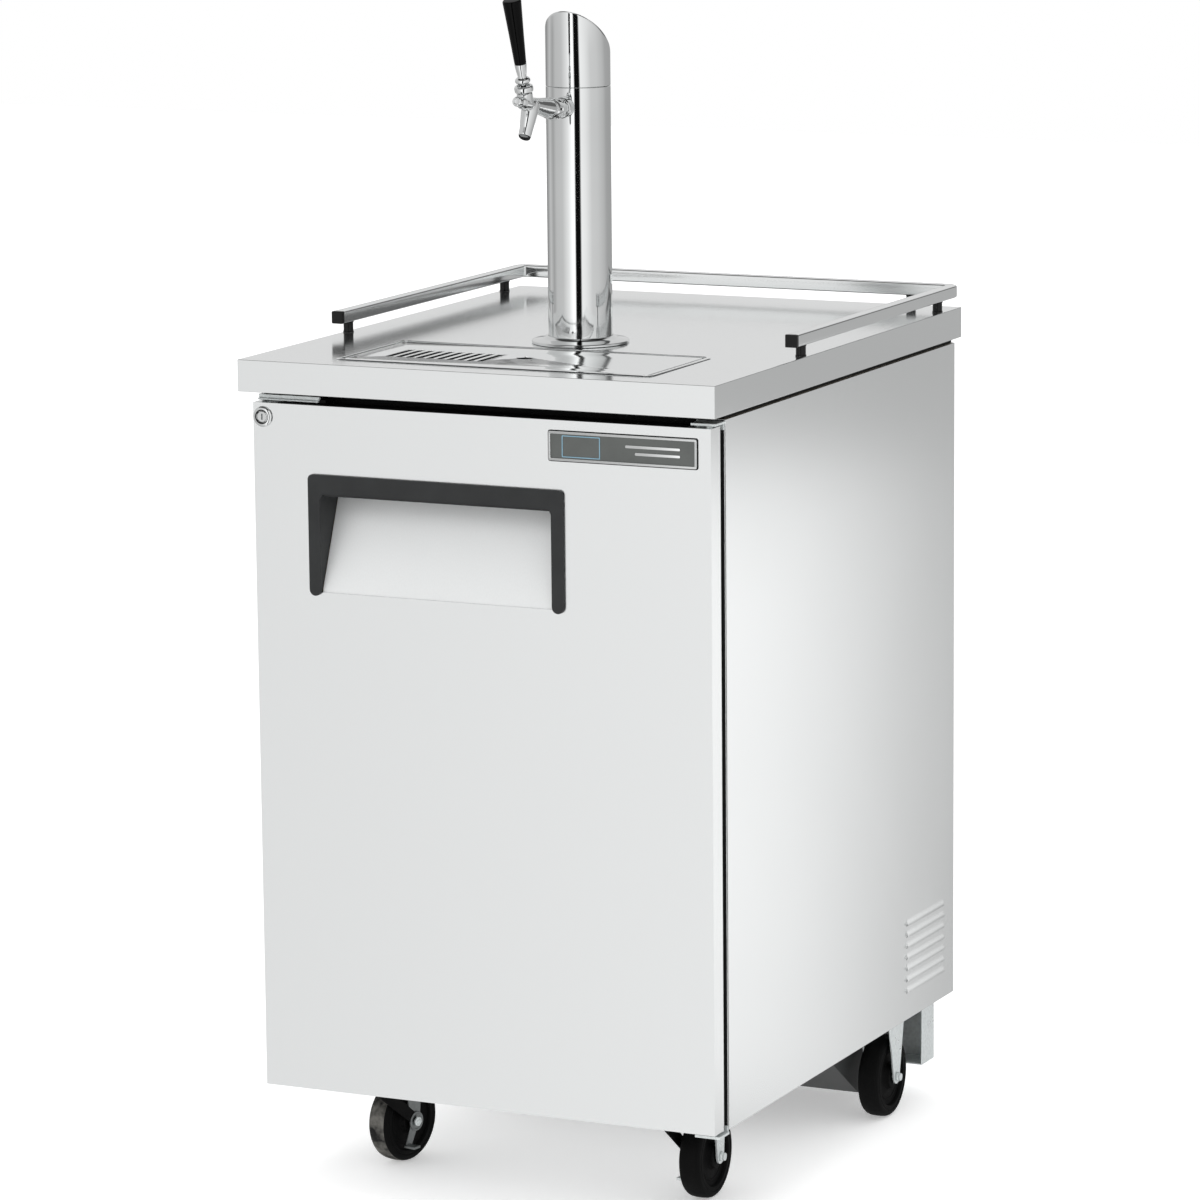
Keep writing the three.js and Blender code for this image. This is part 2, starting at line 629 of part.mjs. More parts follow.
// Foam between the skin and the inner panel, thicker where the door plugs the doorway.
function doorInsulation() {
  const { left, right, front, bottom, top } = DOOR;
  const inset = SHEET + GAP;
  const panelFront = PANEL_FRONT - GAP;
  const slab = box([left + inset, right - inset], [front + inset, panelFront], [bottom + inset, top - inset]);
  const backing = 1 + GAP;
  const plugDepth = [panelFront - 1, PLUG.back - backing];
  const plugHeights = [PLUG.bottom + backing, PLUG.top - backing];
  const plug = box(span(PLUG.halfWidth - backing), plugDepth, plugHeights);
  const recess = [
    [front - 5, RECESS.bottom - 13],
    [front + 3.3, RECESS.bottom - 13],
    [front + 3.3, RECESS.bottom + 1],
    [RECESS.back + 1.8, RECESS.top - 2],
    [RECESS.back + 1.8, RECESS.top + 0.5],
    [front - 5, RECESS.top + 0.5],
  ];
  const pocket = prism("x", recess, [RECESS.left - 0.4, RECESS.right + 0.4]);
  const lockBay = box([left - 5, LOCK.x + 24], [front - 5, panelFront + 5], [LOCK.z - 24, top]);
  const wells = [hingeBore(1, [top - 40, top + 5]), hingeBore(1, [bottom - 5, bottom + 40])];
  return cut(join(slab, plug), pocket, lockBay, ...wells);
}

// The door's inner face: a flange inside the skin's edge and a tray over the plug.
function doorInnerPanel() {
  const { left, right, bottom, top } = DOOR;
  const inset = SHEET + GAP;
  const thick = 1;
  const flangeDepth = [PANEL_FRONT, PANEL_FRONT + thick];
  const flange = box([left + inset, right - inset], flangeDepth, [bottom + inset, top - inset]);
  const tray = (offset, front) => {
    const heights = [PLUG.bottom + offset, PLUG.top - offset];
    return box(span(PLUG.halfWidth - offset), [front, PLUG.back - offset], heights);
  };
  return cut(join(flange, tray(0, PANEL_FRONT)), tray(thick, PANEL_FRONT - 5));
}

function doorGasket() {
  const { left, right, bottom, top, width } = SEAL;
  const depth = [PANEL_FRONT + 1 + GAP, CABINET.front - GAP];
  const outer = box([left, right], depth, [bottom, top]);
  const through = [depth[0] - 5, depth[1] + 5];
  const inner = box([left + width, right - width], through, [bottom + width, top - width]);
  return cut(outer, inner);
}

function makersPlate() {
  const { left, right, bottom, top, thick } = PLATE;
  const back = DOOR.front - GAP;
  const plate = prism("y", roundedRectangle([left, right], [bottom, top], 2), [back - thick, back]);
  const border = 2.5;
  const sunk = [back - thick - 5, back - thick + 0.7];
  const field = box([left + border, right - border], sunk, [bottom + border, top - border]);
  return cut(plate, field);
}

function lockBarrel() {
  const bore = LOCK.plug + GAP;
  const face = DOOR.front - GAP;
  const profile = [
    [bore, 0],
    [LOCK.barrel, 0],
    [LOCK.barrel, 18],
    [LOCK.bezel, 18],
    [LOCK.bezel, 20],
    [LOCK.bezel - 2, 21.5],
    [bore, 21.5],
    [bore, 0],
  ];
  return aim(turned(profile, 18), [LOCK.x, face + 18, LOCK.z], [0, -1, 0]);
}

// The key plug and its cam, which points to the hinge side when unlocked and up when locked.
function lockPlug() {
  const keyFace = DOOR.front - 3.3;
  const camBack = -341.5;
  const plug = aim(cylinder(LOCK.plug, [0, camBack - keyFace], 16), [LOCK.x, camBack, LOCK.z], [0, -1, 0]);
  const keyway = box(span(0.9, LOCK.x), [keyFace - 5, keyFace + 6], span(3.6, LOCK.z));
  const cam = box([LOCK.x - 4, LOCK.x + 21.5], [camBack - 2.5, camBack], span(3.5, LOCK.z));
  return join(cut(plug, keyway), cam);
}

// ---------------------------------------------------------------- hinges and strike, fixed to the cabinet

// An angle bracket on the cabinet's front edge: a leaf on the jamb and a leaf over or under the door.
function hingeBracket(doorEdge, direction) {
  const jamb = CABINET.front - GAP;
  const { leaf, pin, x, y } = HINGE;
  const nearFace = doorEdge + direction * 2.2;
  const farFace = nearFace + direction * leaf;
  const range = (a, b) => [Math.min(a, b), Math.max(a, b)];
  const onJamb = box([262, 296], [jamb - leaf, jamb], range(farFace, doorEdge - direction * 5));
  const overDoor = box([266, 297], [y - 8, jamb], range(nearFace, farFace));
  const pinLength = 30;
  const pinRod = cylinder(pin, range(farFace, doorEdge - direction * pinLength), 16).translate(x, y, 0);
  return join(onJamb, overDoor, pinRod);
}

// The angle that the lock's cam rises through.
function strikePlate() {
  const jamb = CABINET.front - GAP;
  const bottom = DOOR.top + 2;
  const onJamb = box([-288, -208], [jamb - 1.5, jamb], [938, bottom + 2]);
  const overDoor = box([-288, -208], [-356, jamb], [bottom, bottom + 2]);
  const camSlot = box([LOCK.x - 5, LOCK.x + 15], [-346.5, -338.5], [bottom - 5, bottom + 7]);
  return cut(join(onJamb, overDoor), camSlot);
}

// ---------------------------------------------------------------- refrigeration

// A finned block: upright fins that share a header at the top.
function finnedCoil([x0, x1], y, [z0, z1], fins) {
  const pitch = (x1 - x0) / (fins - 0.5);
  const header = 12;
  const gaps = Array.from({ length: fins - 1 }, (_, i) => {
    const x = x0 + (i + 0.5) * pitch;
    return box([x, x + pitch / 2], [y[0] - 5, y[1] + 5], [z0 - 5, z1 - header]);
  });
  return cut(box([x0, x1], y, [z0, z1]), ...gaps);
}

// The cover is open to the liner behind and above. It carries the fan's motor on an arm from its floor.
function evaporatorCover() {
  const { halfWidth, front, back, bottom, top } = EVAPORATOR;
  const { x, z, radius } = EVAPORATOR_FAN;
  const outside = box(span(halfWidth), [front, back], [bottom, top]);
  const inside = box(span(halfWidth - SHEET), [front + SHEET, back + 5], [bottom + SHEET, top + 5]);
  const fanHole = aim(cylinder(radius + 4, [-5, 5], 32), [x, front, z], [0, 1, 0]);
  const intakes = Array.from({ length: 5 }, (_, i) => {
    const slot = bottom + 74 + i * 16;
    return box([60, 170], [front - 5, front + 5], [slot, slot + 7]);
  });
  const motorFront = 18;
  const arm = box(span(3, x), span(1.5, EVAPORATOR_FAN.y + motorFront + 1.5), [bottom + SHEET / 2, z]);
  const motor = fanMotor(EVAPORATOR_FAN, 18, [motorFront, 50]);
  return join(cut(outside, inside, fanHole, ...intakes), arm, ...motor);
}

// A motor on the fan's axis between two distances from the fan, with a shaft that ends just short of the hub.
function fanMotor({ x, y, z, depth }, radius, [near, far]) {
  const side = Math.sign(near);
  const motor = cylinder(radius, [Math.min(near, far), Math.max(near, far)], 20);
  const tip = side * (depth / 2 + GAP);
  const shaft = cylinder(4, [Math.min(tip, near + side), Math.max(tip, near + side)], 12);
  return [motor, shaft].map((piece) => aim(piece, [x, y, z], [0, 1, 0]));
}

// Pitched blades round a hub, turning about the Y axis.
function fan({ radius, hub, depth }) {
  const blades = 5;
  const centre = aim(cylinder(hub, span(depth / 2), 20), [0, 0, 0], [0, 1, 0]);
  const chord = radius * 0.62;
  const vanes = Array.from({ length: blades }, (_, i) => {
    const vane = box([hub - 3, radius], span(0.8), span(chord / 2));
    return vane.rotateX(THREE.MathUtils.degToRad(62)).rotateY((i * 2 * Math.PI) / blades);
  });
  return join(centre, ...vanes);
}

function thermostatKnob() {
  const profile = [[0, 0], [17, 0], [17, 3], [13, 5], [12, 15], [0, 16]];
  const pointer = box(span(1.2), [-17, -12], [2, 14]);
  return join(aim(turned(profile, 16), [0, 0, 0], [0, -1, 0]), pointer);
}

function compressor() {
  const { radius, height } = COMPRESSOR;
  const profile = [
    [0, 0],
    [radius - 6, 0],
    [radius, 12],
    [radius, 0.6 * height],
    [0.8 * radius, 0.88 * height],
    [0, height],
  ];
  const feet = [-1, 1].map((side) => box(span(radius - 2), span(9, side * 28), [-8, 4]));
  return join(turned(profile, 20), ...feet);
}

// The coil behind the fan, with the fan's motor on an arm in front of it.
function condenserCoil() {
  const { left, right, front, back, bottom, top } = CONDENSER;
  const { x, y, z } = CONDENSER_FAN;
  const motorEnd = -46;
  const coil = finnedCoil([left, right], [front, back], [bottom, top], 9);
  const floor = PAN.bottom + PAN.sheet + GAP;
  const stand = box([left, right], [front + 4, back - 4], [floor, bottom + 2]);
  const post = box(span(8, x), [y + motorEnd, y + motorEnd + 3], [floor, z]);
  const foot = box(span(8, x), [y + motorEnd, back - 4], [floor, floor + 3]);
  return join(coil, stand, foot, post, ...fanMotor(CONDENSER_FAN, 20, [-23, motorEnd]));
}

// The open trough under the machine, with a sloping nose.
function machinePan() {
  const { halfWidth, front, toe, back, bottom, sheet } = PAN;
  const top = CABINET.bottom - GAP;
  const run = (toe - front) / (top - bottom);
  const nose = (z) => front + (top - z) * run + sheet * Math.hypot(1, run);
  const outside = prism("x", [[front, top], [toe, bottom], [back, bottom], [back, top]], span(halfWidth));
  const floor = bottom + sheet;
  const above = top + 4;
  const hollow = [[nose(above), above], [nose(floor), floor], [back - sheet, floor], [back - sheet, above]];
  return cut(outside, prism("x", hollow, span(halfWidth - sheet)));
}

function rearChannel() {
  const { halfWidth, front, back, bottom, sheet } = CHANNEL;
  const top = CABINET.bottom - GAP;
  const outside = box(span(halfWidth), [front, back], [bottom, top]);
  const inside = box(span(halfWidth - sheet), [front - 5, back - sheet], [bottom + sheet, top + 5]);
  return cut(outside, inside);
}

// ---------------------------------------------------------------- casters, each in its own group

const plateTop = CABINET.bottom - GAP;

function casterWheel() {
  const { radius, halfWidth, hubRadius, hubHalfWidth, bore } = WHEEL;
  const half = [
    [radius, halfWidth - 5],
    [radius - 4, halfWidth],
    [radius - 14, halfWidth],
    [radius - 15, halfWidth - 5],
    [hubRadius, halfWidth - 5],
    [hubRadius, hubHalfWidth],
    [bore, hubHalfWidth],
  ];
  const profile = [...half.map(([r, x]) => [r, -x]).reverse(), ...half, [bore, -hubHalfWidth]];
  return aim(turned(profile, 20), [0, 0, 0], [1, 0, 0]);
}

// A fork leg: wide under the crown and rounded round the axle.
function forkLeg(crownZ, [front, back], axleY, side) {
  const round = 9;
  const shape = new THREE.Shape();
  shape.moveTo(back, crownZ);
  shape.lineTo(front, crownZ);
  shape.absarc(axleY, WHEEL.radius, round, Math.PI, 2 * Math.PI);
  const ends = [side * FORK.inside, side * FORK.outside].sort((a, b) => a - b);
  return prism("x", shape, ends);
}

const axle = (y) => aim(cylinder(FORK.axleRadius, span(FORK.axleEnd), 12), [0, y, WHEEL.radius], [1, 0, 0]);

function swivelPlate() {
  const plate = box(span(33), span(40), [plateTop - 3, plateTop]);
  const race = cylinder(23, [FORK.crown + 8, plateTop - 2], 20);
  return join(plate, race);
}

function swivelFork() {
  const { crown, outside } = FORK;
  const cap = cylinder(24, [crown, crown + 8 - GAP], 20);
  const legSpan = [SWIVEL.trail - 17, SWIVEL.trail + 14];
  const bridge = box(span(outside), [-20, legSpan[1]], [crown, crown + 4]);
  const legs = [-1, 1].map((side) => forkLeg(crown + 4, legSpan, SWIVEL.trail, side));
  return join(cap, bridge, ...legs, axle(SWIVEL.trail));
}

// The brake: a ring on the axle's end, an arm up to the pedal over the wheel's front, and a tab below.
function brakePedal() {
  const y = SWIVEL.trail;
  const z = WHEEL.radius;
  const side = [FORK.outside + GAP, FORK.outside + GAP + 2.5];
  const boss = aim(cylinder(11, side, 16), [0, y, z], [1, 0, 0]);
  const bore = aim(cylinder(FORK.axleRadius + GAP, [side[0] - 5, side[1] + 5], 12), [0, y, z], [1, 0, 0]);
  const arm = prism("x", [[y - 10, z - 2], [-34, 95], [-34, 103], [-14, 103], [y + 1, z + 10]], side);
  const pedal = box([-28, side[1]], [-34, -16], [99, 103]);
  const shank = prism("x", [[y - 9, z], [y + 2, z - 9], [y - 10, z - 29], [y - 20, z - 26]], side);
  const tab = box([side[0], side[0] + 16], [y - 22, y - 10], [z - 29, z - 26]);
  return cut(join(boss, arm, pedal, shank, tab), bore);
}

function rigidFork() {
  const plate = box(span(30), span(42), [plateTop - 3, plateTop]);
  const legs = [-1, 1].map((side) => forkLeg(plateTop - 2, [-24, 24], 0, side));
  return join(plate, ...legs, axle(0));
}

// ---------------------------------------------------------------- assembly

add(kegerator, "left_side_panel", "stainless", mirrorX(sidePanel()));
add(kegerator, "right_side_panel", "stainless", sidePanel());
add(kegerator, "rear_panel", "zinc", rearPanel());
add(kegerator, "mains_inlet", "blackPlastic", mainsInlet());
add(kegerator, "cabinet_frame", "stainless", cabinetFrame());
add(kegerator, "cabinet_insulation", "foam", cabinetInsulation());
add(kegerator, "interior_liner", "liner", interiorLiner());
const gasketSpace = [span(294), [-328, 366], [CABINET.top + GAP, COUNTER.bottom - GAP]];
add(kegerator, "counter_gasket", "rubber", frameRing(gasketSpace, 32));
add(kegerator, "countertop", "stainless", countertop());
add(kegerator, "countertop_core", "board", countertopCore());
add(kegerator, "drip_tray_pan", "stainless", dripTrayPan());
add(kegerator, "drip_grille", "stainless", dripGrille());
add(kegerator, "gallery_rail", "stainless", galleryRail());
add(kegerator, "rail_end_cap_left", "blackPlastic", railEndCap(-1));
add(kegerator, "rail_end_cap_right", "blackPlastic", railEndCap(1));

const tower = place([TOWER.x, TOWER.y, 0]);
add(tower, "tower_flange", "chrome", towerFlange());
add(tower, "tower_column", "chrome", towerColumn());
add(tower, "tower_cap", "chrome", towerCap());
add(tower, "shank", "chrome", shank());
add(tower, "beer_line", "clearHose", beerLine());

const faucet = place([0, SHANK.tail - SHANK.length, SHANK.z], tower, [FAUCET.tilt, 0, 0]);
add(faucet, "coupling_nut", "chrome", couplingNut());
add(faucet, "faucet_body", "chrome", faucetBody());
add(faucet, "valve_shaft", "stainless", valveShaft());
const lever = place([0, LEVER.y, LEVER.z], faucet, [LEVER.lean, 0, 0]);
add(lever, "faucet_bonnet", "chrome", faucetBonnet());
add(lever, "tap_lever", "chrome", tapLever());
add(lever, "tap_handle", "glossBlack", tapHandle());

const door = place();
add(door, "door_skin", "stainless", doorSkin());
add(door, "handle_recess", "stainless", handleRecess());
add(door, "handle_grip", "blackPlastic", handleGrip());
add(door, "door_insulation", "foam", doorInsulation());
add(door, "door_inner_panel", "liner", doorInnerPanel());
add(door, "door_gasket", "rubber", doorGasket());
add(door, "makers_plate", "plate", makersPlate());
add(door, "lock_barrel", "chrome", lockBarrel());
add(door, "lock_plug", "chrome", lockPlug());
add(kegerator, "top_hinge", "zinc", hingeBracket(DOOR.top, 1));
add(kegerator, "bottom_hinge", "zinc", hingeBracket(DOOR.bottom, -1));
add(kegerator, "strike_plate", "zinc", strikePlate());

add(kegerator, "evaporator_cover", "liner", evaporatorCover());
const evaporatorMiddle = [EVAPORATOR.front + 14, EVAPORATOR.back - 6];
const evaporatorHeights = [EVAPORATOR.bottom + SHEET + GAP, EVAPORATOR.top - 6];
add(kegerator, "evaporator_coil", "copper", finnedCoil([20, 190], evaporatorMiddle, evaporatorHeights, 8));
const coldFan = place([EVAPORATOR_FAN.x, EVAPORATOR_FAN.y, EVAPORATOR_FAN.z]);
add(coldFan, "evaporator_fan", "blackPlastic", fan(EVAPORATOR_FAN));
const dial = place([150, EVAPORATOR.front - GAP, EVAPORATOR.bottom + 34]);
add(dial, "thermostat_knob", "blackPlastic", thermostatKnob());
const machine = place([COMPRESSOR.x, COMPRESSOR.y, PAN.bottom + PAN.sheet + GAP + 8]);
add(machine, "compressor", "glossBlack", compressor());
add(kegerator, "condenser_coil", "copper", condenserCoil());
const warmFan = place([CONDENSER_FAN.x, CONDENSER_FAN.y, CONDENSER_FAN.z]);
add(warmFan, "condenser_fan", "blackPlastic", fan(CONDENSER_FAN));
add(kegerator, "machine_pan", "darkPaint", machinePan());
add(kegerator, "rear_channel", "zinc", rearChannel());

for (const [side, sign, turn] of [["left", -1, SWIVEL.leftTurn], ["right", 1, 0]]) {
  const swivelAxis = [sign * SWIVEL.x, SWIVEL.y, 0];
  add(place(swivelAxis), `${side}_swivel_plate`, "zinc", swivelPlate());
  const front = place(swivelAxis, kegerator, [0, 0, turn]);
  add(front, `${side}_swivel_fork`, "zinc", swivelFork());
  const pedal = brakePedal();
  add(front, `${side}_brake_pedal`, "zinc", sign < 0 ? pedal : mirrorX(pedal));
  add(place([0, SWIVEL.trail, WHEEL.radius], front), `${side}_front_wheel`, "rubber", casterWheel());
  const rear = place([sign * RIGID.x, RIGID.y, 0]);
  add(rear, `${side}_rigid_fork`, "zinc", rigidFork());
  add(place([0, 0, WHEEL.radius], rear), `${side}_rear_wheel`, "rubber", casterWheel());
}

export default kegerator;
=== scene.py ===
# The looks of a single-tap kegerator: finishes on the CAD nodes, smooth pieces for the faceted ones, studio.
import json
import math

import bmesh
import bpy
from mathutils import Matrix, Vector


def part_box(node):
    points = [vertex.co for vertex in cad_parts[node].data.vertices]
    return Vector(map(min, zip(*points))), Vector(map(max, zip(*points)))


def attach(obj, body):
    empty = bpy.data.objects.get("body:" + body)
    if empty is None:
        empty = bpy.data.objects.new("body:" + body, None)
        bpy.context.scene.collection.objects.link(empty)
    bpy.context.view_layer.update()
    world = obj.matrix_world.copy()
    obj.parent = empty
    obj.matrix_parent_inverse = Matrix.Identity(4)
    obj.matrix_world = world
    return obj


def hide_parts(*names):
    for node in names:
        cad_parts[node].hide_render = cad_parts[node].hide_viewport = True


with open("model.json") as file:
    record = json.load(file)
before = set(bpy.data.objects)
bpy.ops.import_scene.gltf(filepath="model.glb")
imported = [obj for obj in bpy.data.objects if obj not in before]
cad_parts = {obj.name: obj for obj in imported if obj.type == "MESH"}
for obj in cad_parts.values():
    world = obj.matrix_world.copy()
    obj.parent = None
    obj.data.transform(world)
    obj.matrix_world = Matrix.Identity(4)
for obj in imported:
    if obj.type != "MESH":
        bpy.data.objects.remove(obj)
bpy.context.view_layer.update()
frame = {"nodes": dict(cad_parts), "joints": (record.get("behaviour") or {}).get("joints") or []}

MM = 0.001
CREASE = math.radians(32)
UP = Vector((0, 0, 1))
NODES = frame["nodes"]


# ---------------------------------------------------------------- node helpers

def new_material(name, sockets):
    """A Principled material with constant values on the shader's own sockets."""
    material = bpy.data.materials.new(name)
    material.use_nodes = True
    shader = material.node_tree.nodes["Principled BSDF"]
    for socket, value in sockets.items():
        shader.inputs[socket].default_value = value
    return material


def add_node(tree, kind, inputs=None, **settings):
    """A node with its settings, and with its inputs linked or set."""
    made = tree.nodes.new(kind)
    for key, value in settings.items():
        setattr(made, key, value)
    for socket, value in (inputs or {}).items():
        if isinstance(value, bpy.types.NodeSocket):
            tree.links.new(value, made.inputs[socket])
        else:
            made.inputs[socket].default_value = value
    return made


def noise(tree, scale, detail=3.0, roughness=0.55):
    """Noise over the object's own coordinates, stretched by a scale along each axis."""
    place = add_node(tree, "ShaderNodeTexCoord").outputs["Object"]
    stretched = add_node(tree, "ShaderNodeMapping", {"Vector": place, "Scale": scale})
    made = add_node(tree, "ShaderNodeTexNoise", {
        "Vector": stretched.outputs["Vector"], "Scale": 1.0, "Detail": detail, "Roughness": roughness})
    return made.outputs["Fac"]


def cells(tree, scale, feature="F1"):
    place = add_node(tree, "ShaderNodeTexCoord").outputs["Object"]
    return add_node(tree, "ShaderNodeTexVoronoi", {"Vector": place, "Scale": scale}, feature=feature)


def remap(tree, value, low, high, start=0.3, end=0.7):
    made = add_node(tree, "ShaderNodeMapRange", {
        "Value": value, "From Min": start, "From Max": end, "To Min": low, "To Max": high})
    return made.outputs["Result"]


def blend(tree, share, first, second):
    """The colour between two colours at a share."""
    made = add_node(tree, "ShaderNodeMix", {"Factor": share}, data_type="RGBA")
    for socket, value in ((6, first), (7, second)):
        if isinstance(value, bpy.types.NodeSocket):
            tree.links.new(value, made.inputs[socket])
        else:
            made.inputs[socket].default_value = value
    return made.outputs[2]


def connect(material, socket, value):
    tree = material.node_tree
    tree.links.new(value, tree.nodes["Principled BSDF"].inputs[socket])


def bump(material, height, strength, distance):
    made = add_node(material.node_tree, "ShaderNodeBump", {
        "Height": height, "Strength": strength, "Distance": distance})
    connect(material, "Normal", made.outputs["Normal"])


def grey(value, tint=(1.0, 1.0, 1.0)):
    return (*(value * part for part in tint), 1.0)


# ---------------------------------------------------------------- materials

COOL = (0.985, 1.0, 1.0)


def brushed_steel(name, tone, grain, roughness):
    """Brushed sheet: hair-fine streaks along the grain over a faint cloudy mottle."""
    material = new_material(name, {"Metallic": 1.0, "Base Color": grey(tone)})
    tree = material.node_tree
    streak_scale = [1400.0, 1400.0, 1400.0]
    streak_scale["XYZ".index(grain)] = 9.0
    streaks = noise(tree, streak_scale, detail=4.0)
    mottle = noise(tree, (4.0, 4.0, 4.0), detail=2.0)
    share = remap(tree, streaks, 0.0, 1.0)
    connect(material, "Base Color", blend(tree, share, grey(tone * 0.99, COOL), grey(tone, COOL)))
    rough = add_node(tree, "ShaderNodeMath", {
        0: remap(tree, streaks, roughness - 0.005, roughness + 0.02), 1: remap(tree, mottle, -0.005, 0.01)})
    connect(material, "Roughness", rough.outputs["Value"])
    bump(material, streaks, 0.015, 0.0002)
    return material


def pressed_sheet(name, tone):
    """Matt pressed sheet in the handle pocket, which scatters the light."""
    material = new_material(name, {"Metallic": 0.3, "Base Color": grey(tone), "Specular IOR Level": 0.3})
    tree = material.node_tree
    streaks = noise(tree, (900.0, 900.0, 9.0), detail=3.0)
    share = remap(tree, streaks, 0.0, 1.0)
    connect(material, "Base Color", blend(tree, share, grey(tone * 0.97, COOL), grey(tone, COOL)))
    connect(material, "Roughness", remap(tree, noise(tree, (12.0, 12.0, 12.0)), 0.42, 0.55))
    return material


def polished_chrome(name):
    """Chrome plate with faint smears."""
    material = new_material(name, {"Metallic": 1.0, "Base Color": grey(0.75, COOL)})
    tree = material.node_tree
    smears = noise(tree, (60.0, 60.0, 14.0), detail=4.0)
    connect(material, "Roughness", remap(tree, smears, 0.025, 0.08))
    share = remap(tree, noise(tree, (9.0, 9.0, 9.0)), 0.0, 1.0)
    connect(material, "Base Color", blend(tree, share, grey(0.73, COOL), grey(0.77, COOL)))
    return material


def zinc_plate(name, tone, metallic):
    """Zinc plating: a cool pale metal with a faint spangle."""
    material = new_material(name, {"Metallic": metallic})
    tree = material.node_tree
    spangle = cells(tree, 260.0)
    share = remap(tree, spangle.outputs["Distance"], 0.0, 1.0, 0.0, 0.8)
    tint = (0.95, 1.0, 1.0)
    connect(material, "Base Color", blend(tree, share, grey(tone * 0.85, tint), grey(tone, tint)))
    connect(material, "Roughness", remap(tree, noise(tree, (40.0, 40.0, 40.0)), 0.26, 0.42))
    bump(material, noise(tree, (320.0, 320.0, 320.0)), 0.06, 0.0003)
    return material


def moulded_plastic(name, tone, roughness, tint=(0.94, 1.0, 1.03)):
    """Moulded plastic with a fine spark-eroded grain."""
    material = new_material(name, {"Base Color": grey(tone, tint), "Specular IOR Level": 0.3})
    tree = material.node_tree
    cloud = remap(tree, noise(tree, (30.0, 30.0, 30.0)), 0.0, 1.0)
    connect(material, "Base Color", blend(tree, cloud, grey(tone * 0.85, tint), grey(tone * 1.1, tint)))
    grain = noise(tree, (1500.0, 1500.0, 1500.0), detail=1.0)
    connect(material, "Roughness", remap(tree, grain, roughness - 0.05, roughness + 0.08))
    bump(material, grain, 0.18, 0.0002)
    return material


def gloss_lacquer(name, tone):
    """Black gloss moulding with faint scratches along its length."""
    material = new_material(name, {"Base Color": grey(tone), "Specular IOR Level": 0.08})
    tree = material.node_tree
    scratches = noise(tree, (700.0, 700.0, 30.0), detail=3.0)
    connect(material, "Roughness", remap(tree, scratches, 0.05, 0.12))
    share = remap(tree, scratches, 0.0, 1.0)
    connect(material, "Base Color", blend(tree, share, grey(tone * 0.7), grey(tone * 1.3)))
    return material


def rubber(name, tone, dust=None):
    """Matt rubber. With a dust colour, the running surface has picked up floor dirt."""
    material = new_material(name, {"Specular IOR Level": 0.09, "Base Color": grey(tone)})
    tree = material.node_tree
    worn = noise(tree, (45.0, 45.0, 45.0), detail=5.0)
    second = dust or grey(tone * 1.5, (0.95, 1.0, 1.02))
    share = remap(tree, worn, 0.0, 0.85 if dust else 1.0, 0.38, 0.66)
    connect(material, "Base Color", blend(tree, share, grey(tone), second))
    connect(material, "Roughness", remap(tree, worn, 0.5, 0.78))
    bump(material, noise(tree, (900.0, 900.0, 900.0), detail=2.0), 0.15, 0.0003)
    return material


def painted_sheet(name, tone, roughness, tint=(0.95, 1.0, 1.0)):
    """Baked paint with orange peel and a trace of dust."""
    material = new_material(name, {"Base Color": grey(tone, tint), "Specular IOR Level": 0.5})
    tree = material.node_tree
    dust = remap(tree, noise(tree, (14.0, 14.0, 14.0), detail=5.0), 0.0, 1.0)
    connect(material, "Base Color", blend(tree, dust, grey(tone * 0.85, tint), grey(tone * 1.2, tint)))
    peel = noise(tree, (420.0, 420.0, 420.0), detail=1.0)
    connect(material, "Roughness", remap(tree, dust, roughness - 0.06, roughness + 0.08, 0.0, 1.0))
    bump(material, peel, 0.08, 0.0004)
    return material


def rigid_foam(name):
    """Cut polyurethane foam with open cells."""
    material = new_material(name, {"Roughness": 0.95})
    tree = material.node_tree
    pores = cells(tree, 700.0)
    share = remap(tree, pores.outputs["Distance"], 0.0, 1.0, 0.1, 0.6)
    pore, skin = (0.07, 0.062, 0.05, 1.0), (0.15, 0.13, 0.1, 1.0)
    connect(material, "Base Color", blend(tree, share, pore, skin))
    bump(material, pores.outputs["Distance"], 0.5, 0.0006)
    return material


def liner_sheet(name):
    """Satin aluminium lining with a stucco emboss."""
    material = new_material(name, {"Metallic": 0.85, "Base Color": grey(0.72)})
    tree = material.node_tree
    stucco = cells(tree, 190.0, "SMOOTH_F1")
    share = remap(tree, stucco.outputs["Distance"], 0.0, 1.0, 0.1, 0.7)
    connect(material, "Base Color", blend(tree, share, grey(0.64), grey(0.78)))
    connect(material, "Roughness", remap(tree, stucco.outputs["Distance"], 0.3, 0.44))
    bump(material, stucco.outputs["Distance"], 0.25, 0.0008)
    return material


def particle_board(name):
    """Dark moisture-proof chipboard."""
    material = new_material(name, {"Roughness": 0.85})
    tree = material.node_tree
    chips = cells(tree, 320.0)
    share = remap(tree, chips.outputs["Color"], 0.0, 1.0, 0.1, 0.9)
    dark_chip, light_chip = (0.012, 0.010, 0.008, 1.0), (0.022, 0.018, 0.014, 1.0)
    connect(material, "Base Color", blend(tree, share, dark_chip, light_chip))
    bump(material, chips.outputs["Distance"], 0.3, 0.0005)
    return material


def finned_copper(name):
    """Copper coil block, whose fine fins run across it."""
    material = new_material(name, {"Metallic": 1.0})
    tree = material.node_tree
    fins = noise(tree, (1300.0, 4.0, 4.0), detail=0.0)
    tarnish = remap(tree, noise(tree, (22.0, 22.0, 22.0)), 0.0, 1.0)
    dull, bright = (0.42, 0.17, 0.08, 1.0), (0.72, 0.36, 0.18, 1.0)
    connect(material, "Base Color", blend(tree, tarnish, dull, bright))
    connect(material, "Roughness", remap(tree, tarnish, 0.3, 0.5, 0.0, 1.0))
    bump(material, fins, 0.6, 0.0008)
    return material


